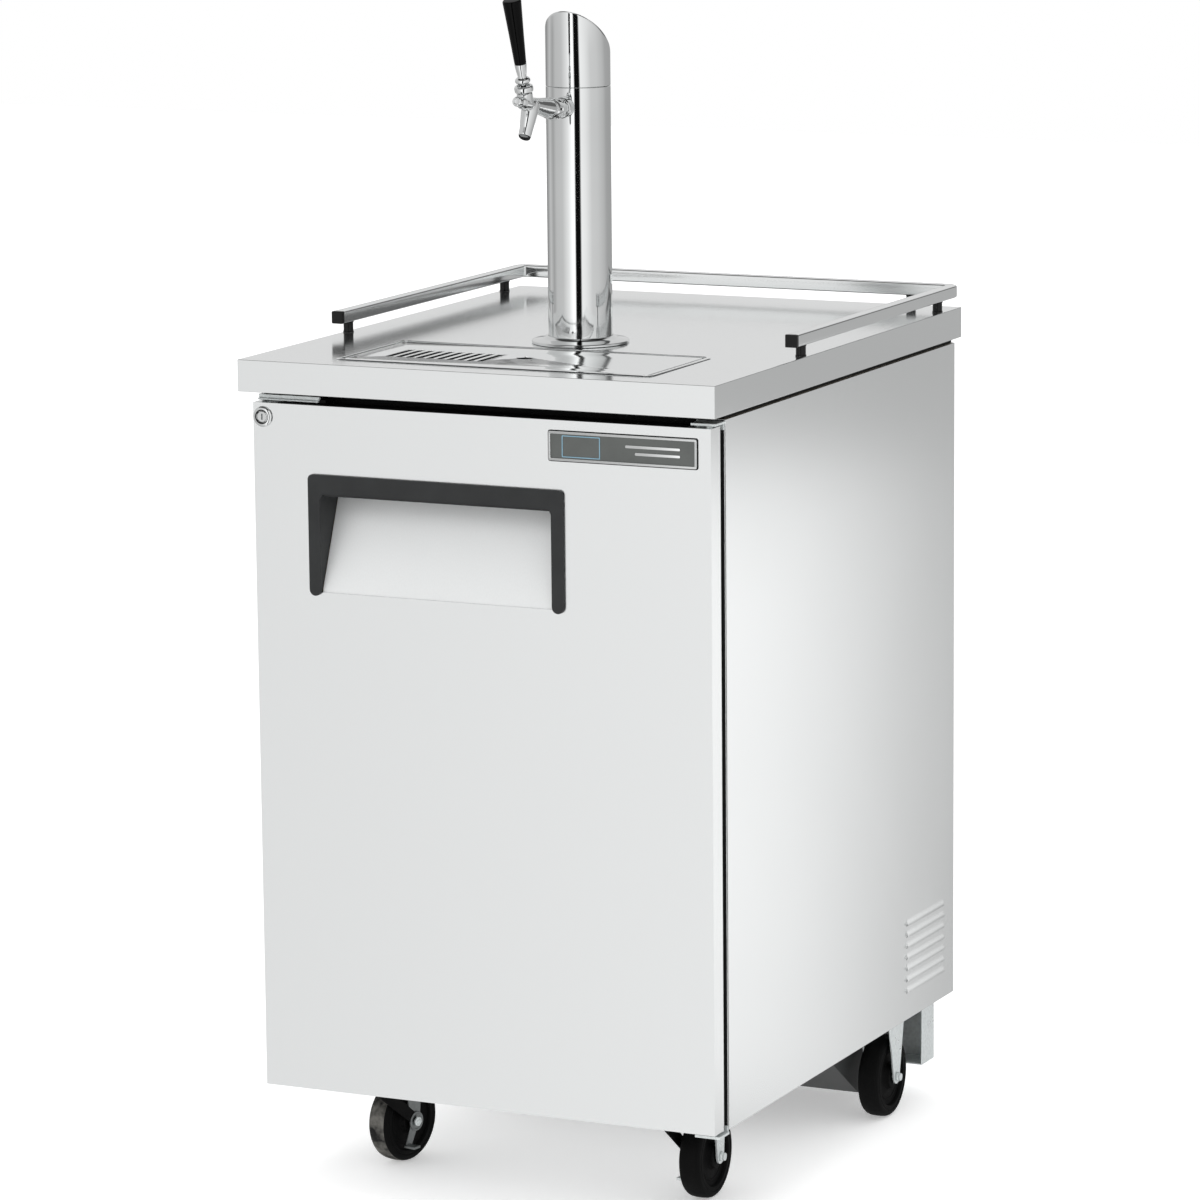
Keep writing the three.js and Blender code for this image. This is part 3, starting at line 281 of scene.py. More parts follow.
def milky_hose(name):
    """Clouded clear vinyl."""
    material = new_material(name, {
        "Roughness": 0.3, "Transmission Weight": 0.25, "IOR": 1.45, "Base Color": grey(0.7)})
    tree = material.node_tree
    cloud = remap(tree, noise(tree, (50.0, 50.0, 20.0)), 0.0, 1.0)
    connect(material, "Base Color", blend(tree, cloud, grey(0.62), grey(0.8)))
    bump(material, cloud, 0.05, 0.0003)
    return material


SHEET = brushed_steel("brushed_sheet", 0.925, "Z", 0.24)
WORKTOP = brushed_steel("bright_worktop", 0.93, "X", 0.12)
RAIL_STEEL = brushed_steel("rail_tube", 0.9, "X", 0.14)
POCKET = pressed_sheet("pocket_sheet", 0.8)
TURNED = brushed_steel("turned_steel", 0.6, "X", 0.25)
CHROME = polished_chrome("polished_chrome")
ZINC = zinc_plate("zinc_plate", 0.8, 0.55)
# Painted shade: a dark zinc for the front-left caster, which stands in shade.
SHADED_ZINC = zinc_plate("painted_shade_zinc", 0.22, 0.9)
PALE_ZINC = zinc_plate("pale_zinc", 0.9, 0.1)
BLACK = moulded_plastic("charcoal_moulding", 0.022, 0.45)
POST_BLACK = moulded_plastic("post_black", 0.003, 0.25)
LACQUER = gloss_lacquer("gloss_black", 0.002)
GASKET = rubber("gasket_rubber", 0.008)
TYRE = rubber("wheel_rubber", 0.0022)
TREAD = rubber("dusty_tread", 0.012, dust=(0.22, 0.213, 0.195, 1.0))
PAINT = painted_sheet("dark_grey_paint", 0.045, 0.4)
ENAMEL = painted_sheet("black_enamel", 0.008, 0.2)
PLATE_FIELD = painted_sheet("plate_field", 0.09, 0.35, (0.96, 1.03, 0.98))
PLATE_WINDOW = painted_sheet("plate_window_edge", 0.34, 0.3, (0.55, 0.95, 1.2))
FOAM = rigid_foam("rigid_foam")
LINER = liner_sheet("liner_sheet")
BOARD = particle_board("particle_board")
COPPER = finned_copper("finned_copper")
HOSE = milky_hose("milky_hose")
# The drip pan's inside: near black, so that the grille's slots read as dark as in the photograph.
# Painted shade: the pan's inside is near black for the shade that falls in it under the grille.
SHADE_WELL = painted_sheet("painted_shade_well", 0.012, 0.5)
# Near black for painted shade: in the nut's notches, the spout's mouth and the lock's groove and back edge.
SHADE_BLACK = painted_sheet("painted_shade_black", 0.002, 0.6)


# ---------------------------------------------------------------- mesh helpers

def bridge(bm, lower, upper):
    """Faces between two rings, either of which may be a single point."""
    count = max(len(lower), len(upper))
    for i in range(count):
        j = (i + 1) % count
        corners = [
            lower[i % len(lower)], lower[j % len(lower)], upper[j % len(upper)], upper[i % len(upper)]]
        unique = list(dict.fromkeys(corners))
        if len(unique) > 2:
            bm.faces.new(unique)


def loft(loops, closed=False, caps=True):
    """A bmesh skinned over loops of points in millimetres."""
    bm = bmesh.new()
    rings = [[bm.verts.new(Vector(point) * MM) for point in loop] for loop in loops]
    for lower, upper in zip(rings, rings[1:]):
        bridge(bm, lower, upper)
    if closed:
        bridge(bm, rings[-1], rings[0])
    elif caps:
        for ring in (rings[0], rings[-1]):
            if len(ring) > 2:
                bm.faces.new(ring)
    bmesh.ops.recalc_face_normals(bm, faces=bm.faces)
    return bm


def circle(radius, height, segments):
    if radius == 0:
        return [(0.0, 0.0, height)]
    turns = (2 * math.pi * i / segments for i in range(segments))
    return [(radius * math.cos(turn), radius * math.sin(turn), height) for turn in turns]


def lathe(profile, segments=96):
    """A turned bmesh about +Z from (radius, height) pairs. A profile that ends where it starts is a ring."""
    closed = profile[0] == profile[-1] and profile[0][0] > 0
    pairs = profile[:-1] if closed else profile
    return loft([circle(radius, height, segments) for radius, height in pairs], closed)


def sweep(points, radii, segments=24):
    """A round bar of changing radius along points in the YZ plane."""
    loops = []
    for i, point in enumerate(points):
        ahead = Vector(points[min(i + 1, len(points) - 1)])
        behind = Vector(points[max(i - 1, 0)])
        turn = UP.rotation_difference(ahead - behind)
        loops.append([tuple(Vector(point) + turn @ Vector(c)) for c in circle(radii[i], 0.0, segments)])
    return loft(loops)


def rounded_rectangle(centre, half, radius, corner_steps=6):
    """Points round a rectangle with rounded corners, as (a, b) pairs."""
    points = []
    for quarter, (sign_a, sign_b) in enumerate([(1, 1), (-1, 1), (-1, -1), (1, -1)]):
        for step in range(corner_steps + 1):
            turn = math.pi / 2 * (quarter + step / corner_steps)
            points.append((
                centre[0] + sign_a * (half[0] - radius) + radius * math.cos(turn),
                centre[1] + sign_b * (half[1] - radius) + radius * math.sin(turn)))
    return points


def transformed(bm, matrix):
    bmesh.ops.transform(bm, matrix=matrix, verts=bm.verts)
    return bm


def merged(bms):
    """One bmesh from several."""
    whole = bmesh.new()
    for bm in bms:
        mesh = bpy.data.meshes.new("part")
        bm.to_mesh(mesh)
        whole.from_mesh(mesh)
        bpy.data.meshes.remove(mesh)
    return whole


def soften(obj, width, segments=2):
    """Rounds the edges and keeps flat faces flat in the shading."""
    edges = obj.modifiers.new("edges", "BEVEL")
    edges.width = width * MM
    edges.segments = segments
    edges.limit_method = "ANGLE"
    edges.angle_limit = CREASE
    shade = obj.modifiers.new("shade", "WEIGHTED_NORMAL")
    shade.keep_sharp = False


def piece(name, bm, body, material, stands_for=(), edge=0.0):
    """A finished piece that rides on a body and may stand for CAD nodes."""
    mesh = bpy.data.meshes.new(name)
    bm.to_mesh(mesh)
    bm.free()
    mesh.shade_smooth()
    obj = bpy.data.objects.new(name, mesh)
    bpy.context.scene.collection.objects.link(obj)
    mesh.materials.append(material)
    if edge:
        soften(obj, edge)
    else:
        mesh.set_sharp_from_angle(angle=CREASE)
    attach(obj, body)
    if stands_for:
        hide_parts(*stands_for)
    return obj


def facing(direction):
    """Turns +Z into a direction."""
    return UP.rotation_difference(Vector(direction)).to_matrix().to_4x4()


def along(direction, start=(0, 0, 0)):
    """Turns +Z into a direction and moves to a start point in millimetres."""
    return Matrix.Translation(Vector(start) * MM) @ facing(direction)


def standing(x, y):
    """Moves a piece that was turned about +Z to its place in plan, in millimetres."""
    return Matrix.Translation(Vector((x, y, 0)) * MM)


def millimetres(node):
    """The lowest and highest corners of a CAD node in millimetres."""
    low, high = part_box(node)
    return low / MM, high / MM


def middle(node):
    low, high = millimetres(node)
    return (low + high) / 2


# ---------------------------------------------------------------- CAD nodes that stay

KEPT = [
    (SHEET, 1.0, ["left_side_panel", "right_side_panel", "cabinet_frame", "door_skin"]),
    (POCKET, 0.5, ["handle_recess"]),
    (WORKTOP, 1.6, ["countertop"]),
    (ZINC, 0.7, ["rear_panel", "rear_channel", "top_hinge", "bottom_hinge"]),
    (PALE_ZINC, 0.7, ["strike_plate"]),
    (ZINC, 0.7, ["right_swivel_plate", "right_swivel_fork", "left_rigid_fork", "right_rigid_fork"]),
    # Painted shade: the front-left caster's plate and fork get the dark zinc.
    (SHADED_ZINC, 0.7, ["left_swivel_plate", "left_swivel_fork"]),
    (BLACK, 1.1, ["handle_grip"]),
    (BLACK, 0.6, ["mains_inlet", "evaporator_fan", "condenser_fan", "thermostat_knob"]),
    (POST_BLACK, 1.2, ["rail_end_cap_left", "rail_end_cap_right"]),
    (GASKET, 1.0, ["counter_gasket", "door_gasket"]),
    (FOAM, 0.0, ["cabinet_insulation", "door_insulation"]),
    (LINER, 0.6, ["interior_liner", "door_inner_panel", "evaporator_cover"]),
    (BOARD, 0.0, ["countertop_core"]),
    (TURNED, 0.3, ["valve_shaft"]),
    (HOSE, 0.0, ["beer_line"]),
    (CHROME, 0.3, ["lock_plug"]),
    (COPPER, 0.5, ["evaporator_coil", "condenser_coil"]),
    (ENAMEL, 1.5, ["compressor"]),
    (PAINT, 1.0, ["machine_pan"]),
]


def finish_cad_nodes():
    """Joins each kept node's facets into whole faces, rounds its edges and gives it its finish."""
    for material, edge, names in KEPT:
        for name in names:
            node = NODES[name]
            node.data.materials.clear()
            node.data.materials.append(material)
            node.data.shade_smooth()
            weld = node.modifiers.new("weld", "WELD")
            weld.merge_threshold = 0.01 * MM
            flat = node.modifiers.new("flat", "DECIMATE")
            flat.decimate_type = "DISSOLVE"
            flat.angle_limit = math.radians(0.5)
            if edge:
                soften(node, edge)
            else:
                node.data.set_sharp_from_angle(angle=CREASE)


# ---------------------------------------------------------------- draught tower

TOWER = middle("tower_column")
TOWER_RADIUS = 38.1
TOWER_WALL = 1.5
FAUCET_TILT = math.radians(-10)
LEVER_LEAN = math.radians(25.7)
SHANK_END = Vector((TOWER.x, -156.0, 1278.0))
FAUCET = Matrix.Translation(SHANK_END * MM) @ Matrix.Rotation(FAUCET_TILT, 4, "X")
PIVOT = Vector((0, -81.4, 8.0))
LEVER = FAUCET @ Matrix.Translation(PIVOT * MM) @ Matrix.Rotation(LEVER_LEAN, 4, "X")
FORWARD = (0, -1, 0)


def tower_tube():
    """The column, with its top edge just broken."""
    low, high = millimetres("tower_column")
    radius = (high.x - low.x) / 2
    bore = radius - TOWER_WALL
    lip = 0.5
    profile = [
        (bore, low.z), (radius, low.z), (radius, high.z - lip), (radius - lip, high.z),
        (bore, high.z), (bore, low.z)]
    bm = transformed(lathe(profile, 192), standing(TOWER.x, TOWER.y))
    piece("tower_tube", bm, "cabinet", CHROME, ["tower_column"])


def tower_slanted_cap():
    """A tube end closed by a plane that falls towards the back, with a softly rounded rim."""
    low, high = millimetres("tower_cap")
    radius = (high.x - low.x) / 2
    fall = 66.0
    slope = fall / (2 * radius)
    rim = [(0.0, 5.0), (0.35, 2.6), (1.2, 1.0), (2.8, 0.15), (5.0, 0.0)]
    loops = [circle(radius - 0.4, low.z, 192), circle(radius, low.z + 0.5, 192)]
    for inset, drop in [*rim, (radius * 0.6, 0.0), (radius, 0.0)]:
        ring = circle(radius - inset, 0.0, 192)
        loops.append([(x, y, high.z - drop - slope * (y + radius)) for x, y, _ in ring])
    bm = transformed(loft(loops, caps=False), standing(TOWER.x, TOWER.y))
    piece("tower_slanted_cap", bm, "cabinet", CHROME, ["tower_cap"])


def tower_base():
    """The turned base flange: a flat foot, a shallow cone and a neck up the column."""
    low, high = millimetres("tower_flange")
    radius = (high.x - low.x) / 2
    bore = 38.4
    foot = low.z
    profile = [
        (bore, foot), (radius - 0.4, foot), (radius, foot + 0.5), (radius, foot + 2.2),
        (radius - 0.6, foot + 3.0), (radius - 2.5, foot + 3.7), (bore + 9, foot + 5.0),
        (bore + 5, foot + 5.8), (bore + 2.6, foot + 8.0), (bore + 1.6, high.z), (bore, high.z), (bore, foot)]
    bm = transformed(lathe(profile, 160), standing(TOWER.x, TOWER.y))
    piece("tower_base_flange", bm, "cabinet", CHROME, ["tower_flange"], edge=0.25)


def shank_and_collar():
    """The shank, from its narrow tail inside the tower to the faucet's end, with its wall collar."""
    bore, tail, radius, collar = 5, 6, 10, 12.6
    length = 78.0
    wall = 14.0 + TOWER_RADIUS
    profile = [
        (bore, 0), (tail, 0), (tail, 15.5), (9.6, 16), (radius, 16.5), (radius, wall + 1),
        (collar, wall + 1), (collar, wall + 7.5), (12.2, wall + 9.5), (11.2, wall + 11),
        (radius, wall + 11), (radius, length), (bore, length), (bore, 0)]
    at = along(FORWARD, (TOWER.x, SHANK_END.y + length, SHANK_END.z))
    bm = transformed(lathe(profile, 72), at)
    piece("shank_with_collar", bm, "cabinet", CHROME, ["shank"], edge=0.4)


def coupling_nut():
    """The ring nut, with deep spanner notches round its middle."""
    notches, segments = 7, 144
    cut = 2.0
    # Each ring's radius, height and notch depth.
    rings = [
        (11, -2, 0), (12.6, -1.6, 0), (13, 0, 0), (13, 2.5, 0), (13, 3.5, cut), (13, 11, cut), (13, 12, 0),
        (12.7, 14.5, 0), (11.9, 16.8, 0), (11.4, 17, 0), (9.9, 17, 0), (9.9, 2, 0), (11, 2, 0)]
    loops = []
    for radius, height, notch in rings:
        ring = []
        for i in range(segments):
            turn = 2 * math.pi * i / segments
            depth = notch * max(0.0, math.cos(notches * turn) - 0.3) ** 0.4
            ring.append(((radius - depth) * math.cos(turn), (radius - depth) * math.sin(turn), height))
        loops.append(ring)
    bm = loft(loops, closed=True)
    # Painted shade: the deep faces of the notches get the near-black finish.
    shaded_radius, shaded_from, shaded_to = 11.9, 3.0, 11.5
    for face in bm.faces:
        place = face.calc_center_median() / MM
        deep = math.hypot(place.x, place.y) < shaded_radius
        face.material_index = int(deep and shaded_from < place.z < shaded_to)
    transformed(bm, FAUCET @ along(FORWARD))
    obj = piece("ring_nut", bm, "cabinet", CHROME, ["coupling_nut"], edge=0.2)
    obj.data.materials.append(SHADE_BLACK)


def faucet_casting():
    """Barrel, lever boss and curved spout melted into one casting."""
    barrel = lathe([
        (0, 3.5), (9.4, 3.5), (9.4, 17.6), (11.4, 18), (11.7, 20), (11.2, 27), (10.2, 36), (9.0, 48),
        (8.4, 62), (8.4, 76), (7.8, 86), (6.0, 91.5), (4.4, 93), (4.4, 95), (0, 95)], 48)
    transformed(barrel, along(FORWARD))
    spout = sweep(
        [(0, -62, 2), (0, -66.5, -9), (0, -69.2, -19), (0, -72, -29), (0, -75.4, -38.4)],
        [10.0, 9.7, 8.8, 7.9, 7.5], 40)
    lean = Matrix.Translation(PIVOT * MM) @ Matrix.Rotation(LEVER_LEAN, 4, "X")
    boss = transformed(lathe([(0, -7), (8.8, -7), (9.2, 0), (9.0, 4.6), (0, 4.6)], 48), lean)
    obj = piece(
        "faucet_casting", transformed(merged([barrel, spout, boss]), FAUCET), "cabinet", CHROME,
        ["faucet_body"])
    melt = obj.modifiers.new("melt", "REMESH")
    melt.mode = "VOXEL"
    melt.voxel_size = 0.0007
    melt.use_smooth_shade = True
    smooth = obj.modifiers.new("smooth", "SMOOTH")
    smooth.factor = 0.5
    smooth.iterations = 9


def faucet_trim():
    """The plain cap on the barrel's nose, and a near-black cup of painted shade in the open mouth of the
    spout.
    """
    cap = lathe([
        (0, 94), (4.6, 94), (5.6, 94.6), (5.8, 95.6), (5.8, 100.6), (5.4, 102.0), (4.4, 102.8), (3.4, 102.8),
        (3.0, 101.9), (0, 101.7)], 48)
    piece("nose_cap", transformed(cap, FAUCET @ along(FORWARD)), "cabinet", CHROME, edge=0.2)
    tip = Vector((0, -75.7, -38.8))
    mouth_axis = Vector((0, -0.5, -0.87))
    mouth = lathe([(0, -1.5), (5.3, -1.5), (5.6, 0.3), (6.6, 0.5), (7.0, 0.0), (7.1, -3.0)], 48)
    bm = transformed(mouth, FAUCET @ along(mouth_axis, tip))
    # Painted shade: the near-black cup stands for the shade inside the spout's bore.
    piece("spout_mouth", bm, "cabinet", SHADE_BLACK)


def lever_and_handle():
    """The bonnet ring, the lever with its ball and ferrule, and the black handle screwed on it."""
    bonnet = [
        (7.6, 5.3), (9.6, 5.3), (10.5, 6.1), (10.9, 7.4), (10.9, 10.4), (10.4, 12.0), (9.4, 12.8),
        (7.6, 12.8), (7.6, 5.3)]
    bm = transformed(lathe(bonnet, 72), LEVER)
    piece("bonnet_ring", bm, "cabinet", CHROME, ["faucet_bonnet"], edge=0.2)
    stem = [
        (0, -6.4), (3.6, -5.2), (6.1, -2.4), (6.6, 0), (6.1, 2.4), (3.6, 5.2), (3.0, 6.5), (3.0, 15.6),
        (5.0, 16), (7.6, 16.6), (8.7, 18), (8.9, 19.4), (8.5, 20.8), (7.2, 22.2), (5.2, 23), (4.9, 24),
        (5.6, 28), (6.7, 36), (7.0, 39.6), (0, 39.6)]
    piece("lever_stem", transformed(lathe(stem, 72), LEVER), "lever", CHROME, ["tap_lever"])
    handle = [
        (0, 40), (6.5, 40), (6.9, 40.5), (8.6, 75), (10.8, 113.5), (10.9, 115), (10.2, 116.6), (8.6, 117),
        (0, 117)]
    bm = transformed(lathe(handle, 72), LEVER)
    piece("tapered_handle", bm, "lever", LACQUER, ["tap_handle"], edge=0.4)


# ---------------------------------------------------------------- worktop fittings

RAIL_SIZE = 15.0
RAIL_WALL = 1.3


def gallery_rail():
    """A square tube with softened corners, swept round three sides."""
    low, high = millimetres("gallery_rail")
    half = RAIL_SIZE / 2
    x, back, front, z = high.x - half, high.y - half, low.y, high.z - half
    corner, steps = 9.0, 12
    path = [((x, front), (1.0, 0.0))]
    for centre, start in (((x - corner, back - corner), 0.0), ((-x + corner, back - corner), math.pi / 2)):
        for step in range(steps + 1):
            turn = start + math.pi / 2 * step / steps
            out = (math.cos(turn), math.sin(turn))
            path.append(((centre[0] + corner * out[0], centre[1] + corner * out[1]), out))
    path.append(((-x, front), (-1.0, 0.0)))

    def section(offset, radius):
        return rounded_rectangle((0, 0), (offset, offset), radius, 4)

    def tube(profile):
        return [[(p[0] + a * out[0], p[1] + a * out[1], z + b) for a, b in profile] for p, out in path]

    outer = tube(section(half, 2.0))
    inner = tube(section(half - RAIL_WALL, 1.0))
    bm = loft([*outer, *reversed(inner)], closed=True)
    piece("rail_tube", bm, "cabinet", RAIL_STEEL, ["gallery_rail"])


def rail_posts():
    """Six black posts with a foot ring between the worktop and the rail."""
    low, high = millimetres("gallery_rail")
    top = high.z - RAIL_SIZE
    neck, collar = 6.3 - 0.4, 6.5
    profile = [
        (0, low.z), (collar, low.z), (collar, low.z + 1.2), (neck, low.z + 1.8), (neck, top - 1.6),
        (collar, top - 1.0), (collar, top - 0.1), (0, top - 0.1)]
    side, back = high.x - RAIL_SIZE / 2, high.y - RAIL_SIZE / 2
    front, rear, back_x = -112, 314, 240
    spots = [(side, front), (-side, front), (side, rear), (-side, rear), (back_x, back), (-back_x, back)]
    for number, (x, y) in enumerate(spots, 1):
        bm = transformed(lathe(profile, 40), standing(x, y))
        piece(f"rail_post_{number}", bm, "cabinet", POST_BLACK)


def drip_tray():
    """The recessed pan with its thin rolled rim and its inside painted near black for shade, and its drain
    spout.
    """
    low, high = millimetres("drip_tray_pan")
    centre = ((low.x + high.x) / 2, (low.y + high.y) / 2)
    half = ((high.x - low.x) / 2, (high.y - low.y) / 2)
    corner, sharpest = 11.0, 2.5
    floor, well_top = 974.5, 994.0
    basin = floor + 1.4

    def level(inset, z):
        edge = (half[0] - inset, half[1] - inset)
        return [(a, b, z) for a, b in rounded_rectangle(centre, edge, max(corner - inset, sharpest))]

    loops = [
        level(3.6, 990.0), level(3.6, 997.2), level(0.2, 997.3), level(0.0, 997.7),
        level(0.5, high.z - 0.1), level(4.2, high.z), level(4.8, high.z - 0.5), level(5.0, 994.4),
        level(12.6, 994.2), level(13.2, 993.4), level(13.4, floor + 4), level(16, basin)]
    bm = loft(loops, caps=False)
    lowest = [v for v in bm.verts if abs(v.co.z / MM - basin) < 0.01]
    bm.faces.new(sorted(lowest, key=lambda v: math.atan2(v.co.y / MM - centre[1], v.co.x / MM - centre[0])))
    bmesh.ops.recalc_face_normals(bm, faces=bm.faces)
    bmesh.ops.reverse_faces(bm, faces=bm.faces)
    # Painted shade: the faces below the well's top get the near-black finish.
    for face in bm.faces:
        face.material_index = int(face.calc_center_median().z / MM < well_top)
    obj = piece("tray_pan", bm, "cabinet", WORKTOP, ["drip_tray_pan"])
    obj.data.materials.append(SHADE_WELL)
    bore, radius, foot, drain_y = 6, 9, 905, -225
    spout = [(bore, foot), (radius, foot), (radius, floor + 1), (bore, floor + 1), (bore, foot)]
    bm = transformed(lathe(spout, 32), standing(centre[0], drain_y))
    piece("drain_spout", bm, "cabinet", WORKTOP, edge=0.4)


UPRIGHT = Matrix(((1, 0, 0, 0), (0, 0, -1, 0), (0, 1, 0, 0), (0, 0, 0, 1)))


def flat_plate(name, outlines, heights, edge, place=Matrix.Identity(4)):
    """A mesh from closed outlines, the first outer and the others holes, with rounded edges."""
    curve = bpy.data.curves.new(name, "CURVE")
    curve.dimensions = "2D"
    curve.fill_mode = "BOTH"
    low, high = heights
    curve.extrude = ((high - low) / 2 - edge) * MM
    curve.bevel_depth = edge * MM
    curve.bevel_resolution = 1
    curve.offset = -edge * MM
    for outline in outlines:
        spline = curve.splines.new("POLY")
        spline.points.add(len(outline) - 1)
        spline.use_cyclic_u = True
        for point, (a, b) in zip(spline.points, outline):
            point.co = (a * MM, b * MM, 0, 1)
    holder = bpy.data.objects.new(name, curve)
    bpy.context.scene.collection.objects.link(holder)
    bpy.context.view_layer.update()
    mesh = bpy.data.meshes.new_from_object(holder.evaluated_get(bpy.context.evaluated_depsgraph_get()))
    bpy.data.objects.remove(holder)
    bm = bmesh.new()
    bm.from_mesh(mesh)
    bpy.data.meshes.remove(mesh)
    bmesh.ops.remove_doubles(bm, verts=bm.verts, dist=0.01 * MM)
    return transformed(bm, place @ Matrix.Translation((0, 0, (low + high) / 2 * MM)))


def drip_grille():
    """The lift-out plate: a group of round-ended slots and a finger hole."""
    low, high = millimetres("drip_grille")
    centre = ((low.x + high.x) / 2, (low.y + high.y) / 2)
    half = ((high.x - low.x) / 2, (high.y - low.y) / 2)
    slots, first_slot, pitch, slot_y = 10, -150.0, 13.1, -259.0
    slot_half = (3.75, 33.0)
    hole_x, hole_y, hole_radius = 6, -247, 10.0
    outlines = [rounded_rectangle(centre, half, 7.0)]
    for i in range(slots):
        slot_centre = (first_slot + i * pitch, slot_y)
        outlines.append(rounded_rectangle(slot_centre, slot_half, slot_half[0] - 0.05, 5))
    outlines.append([(hole_x + x, hole_y + y) for x, y, _ in circle(hole_radius, 0, 40)])
    bm = flat_plate("drip_plate", outlines, (low.z, high.z), 0.35)
    piece("drip_plate", bm, "grille", WORKTOP, ["drip_grille"])


# ---------------------------------------------------------------- door fittings

def lock():
    """The lock's barrel and stepped bezel, with painted shade in the groove round the plug and on the back
    edge.
    """
    low, high = millimetres("lock_barrel")
    x, z = (low.x + high.x) / 2, (low.z + high.z) / 2
    profile = [
        (6.5, 0), (9.5, 0), (9.5, 17.6), (11.6, 17.8), (12, 18.4), (12, 19.4), (11, 20.6), (9.6, 21.3),
        (8.6, 21.5), (8.0, 20.9), (7.4, 20.7), (6.8, 21.2), (6.5, 21.0), (6.5, 0)]
    bm = lathe(profile, 72)
    # Painted shade: the faces in the groove round the plug and on the bezel's back edge get the near-black
    # finish.
    for face in bm.faces:
        place = face.calc_center_median() / MM
        radius = math.hypot(place.x, place.y)
        shaded_groove = 7.3 < radius < 8.7
        shaded_back_edge = radius > 11.6 and place.z < 18.6
        face.material_index = int(shaded_groove or shaded_back_edge)
    transformed(bm, along(FORWARD, (x, high.y, z)))
    obj = piece("lock_bezel", bm, "door", CHROME, ["lock_barrel"])
    obj.data.materials.append(SHADE_BLACK)


def makers_plate():
    """A plain badge: a sunk grey field in a bright frame, with a thin window outline at its left."""
    low, high = millimetres("makers_plate")
    centre = ((low.x + high.x) / 2, (low.z + high.z) / 2)
    half = ((high.x - low.x) / 2, (high.z - low.z) / 2)
    back, front = -high.y, -low.y
    sunk = front - 0.9
    frame_edge = 3.0
    inner = (half[0] - frame_edge, half[1] - frame_edge)
    rim = [rounded_rectangle(centre, half, 2.2), rounded_rectangle(centre, inner, 0.8)]
    bm = flat_plate("badge_frame", rim, (back, front), 0.5, UPRIGHT)
    piece("badge_frame", bm, "door", TURNED, ["makers_plate"])
    # Painted shade: a black ring round the frame for the shadow in the gap round the badge.
    shadow = 1.1
    gap = [rounded_rectangle(centre, (half[0] + shadow, half[1] + shadow), 3.0), rim[0]]
    bm = flat_plate("badge_painted_shade", gap, (back - 0.1, back + 0.25), 0.05, UPRIGHT)
    piece("badge_painted_shade", bm, "door", GASKET)
    bm = flat_plate("badge_field", [rounded_rectangle(centre, inner, 0.8)], (back, sunk), 0.1, UPRIGHT)
    piece("badge_field", bm, "door", PLATE_FIELD)
    window = (centre[0] - half[0] + 41.0, centre[1])
    outline = [rounded_rectangle(window, (24.0, 12.6), 1.0), rounded_rectangle(window, (22.8, 11.4), 0.6)]
    bm = flat_plate("badge_window", outline, (sunk, front - 0.5), 0.1, UPRIGHT)
    piece("badge_window", bm, "door", PLATE_WINDOW)
    bars = [(38.0, 34.0, 4.0), (44.0, 28.0, -4.0)]
    for number, (shift, half_length, height) in enumerate(bars):
        bar = [rounded_rectangle((centre[0] + shift, centre[1] + height), (half_length, 1.6), 1.4)]
        bm = flat_plate(f"badge_bar_{number}", bar, (sunk, front - 0.2), 0.2, UPRIGHT)
        piece(f"badge_bar_{number}", bm, "door", CHROME)


def shade_strips_and_strike():
    """Black strips of painted shade round the cabinet's mouth and on the door's top, for the dark gaps round
    the shut door, and the strike's cover and buffer.
    """
    # Painted shade: the two black strips stand for the shade in the gaps round the door.
    outer = rounded_rectangle((0.2, 541.0), (294.6, 411.2), 1.5)
    inner = rounded_rectangle((0.5, 535.5), (286.3, 402.5), 1.0)
    mouth = (330.0, 330.8)
    bm = flat_plate("frame_painted_shade", [outer, inner], mouth, 0.1, UPRIGHT)
    piece("frame_painted_shade", bm, "cabinet", GASKET)
    _, door_top = millimetres("door_skin")
    strip = rounded_rectangle((2.0, -350.2), (260.0, 11.8), 1.0)
    bm = flat_plate("door_top_painted_shade", [strip], (door_top.z - 0.1, door_top.z + 0.5), 0.1)
    piece("door_top_painted_shade", bm, "door", GASKET)
    low, high = millimetres("strike_plate")
    cover = rounded_rectangle(((low.x + high.x) / 2, -351.0), ((high.x - low.x) / 2, 2.0), 0.6)
    bm = flat_plate("strike_cover", [cover], (high.z + 0.1, high.z + 4.4), 0.3)
    piece("strike_cover", bm, "cabinet", PALE_ZINC)
    block = rounded_rectangle((high.x + 4.5, -345.0), (4.2, 9.0), 0.8)
    bm = flat_plate("strike_buffer", [block], (door_top.z + 1.4, high.z + 1.5), 0.3)
    piece("strike_buffer", bm, "cabinet", GASKET)


# ---------------------------------------------------------------- casters

def wheel(name, centre, axis):
    """A moulded rubber wheel: crowned tread, ringed and dished sides, hub. Only the left front is dusty."""
    tread_edge = 50.0
    half = [
        (51.0, 0.0), (50.9, 4.0), (50.5, 8.0), (49.6, 10.8), (48.0, 12.7), (46.0, 13.4), (43.6, 13.5),
        (42.8, 12.9), (41.6, 12.9), (40.8, 13.4), (37.8, 13.4), (36.8, 12.4), (36.0, 9.2), (33.0, 8.4),
        (30.5, 8.6), (29.8, 9.3), (28.2, 9.3), (27.4, 8.6), (21.0, 8.6), (17.6, 9.4), (15.6, 11.6),
        (15.0, 14.6), (14.0, 15.4), (5.6, 15.5)]
    profile = [(r, -x) for r, x in reversed(half)] + half[1:]
    profile.append(profile[0])
    bm = lathe(profile, 96)
    for face in bm.faces:
        radius = math.hypot(*face.calc_center_median().xy) / MM
        face.material_index = int(radius > tread_edge)
    transformed(bm, Matrix.Translation(centre) @ facing(axis))
    obj = piece(name + "_moulded", bm, name, TYRE, [name])
    obj.data.materials.append(TREAD if "left_front" in name else TYRE)


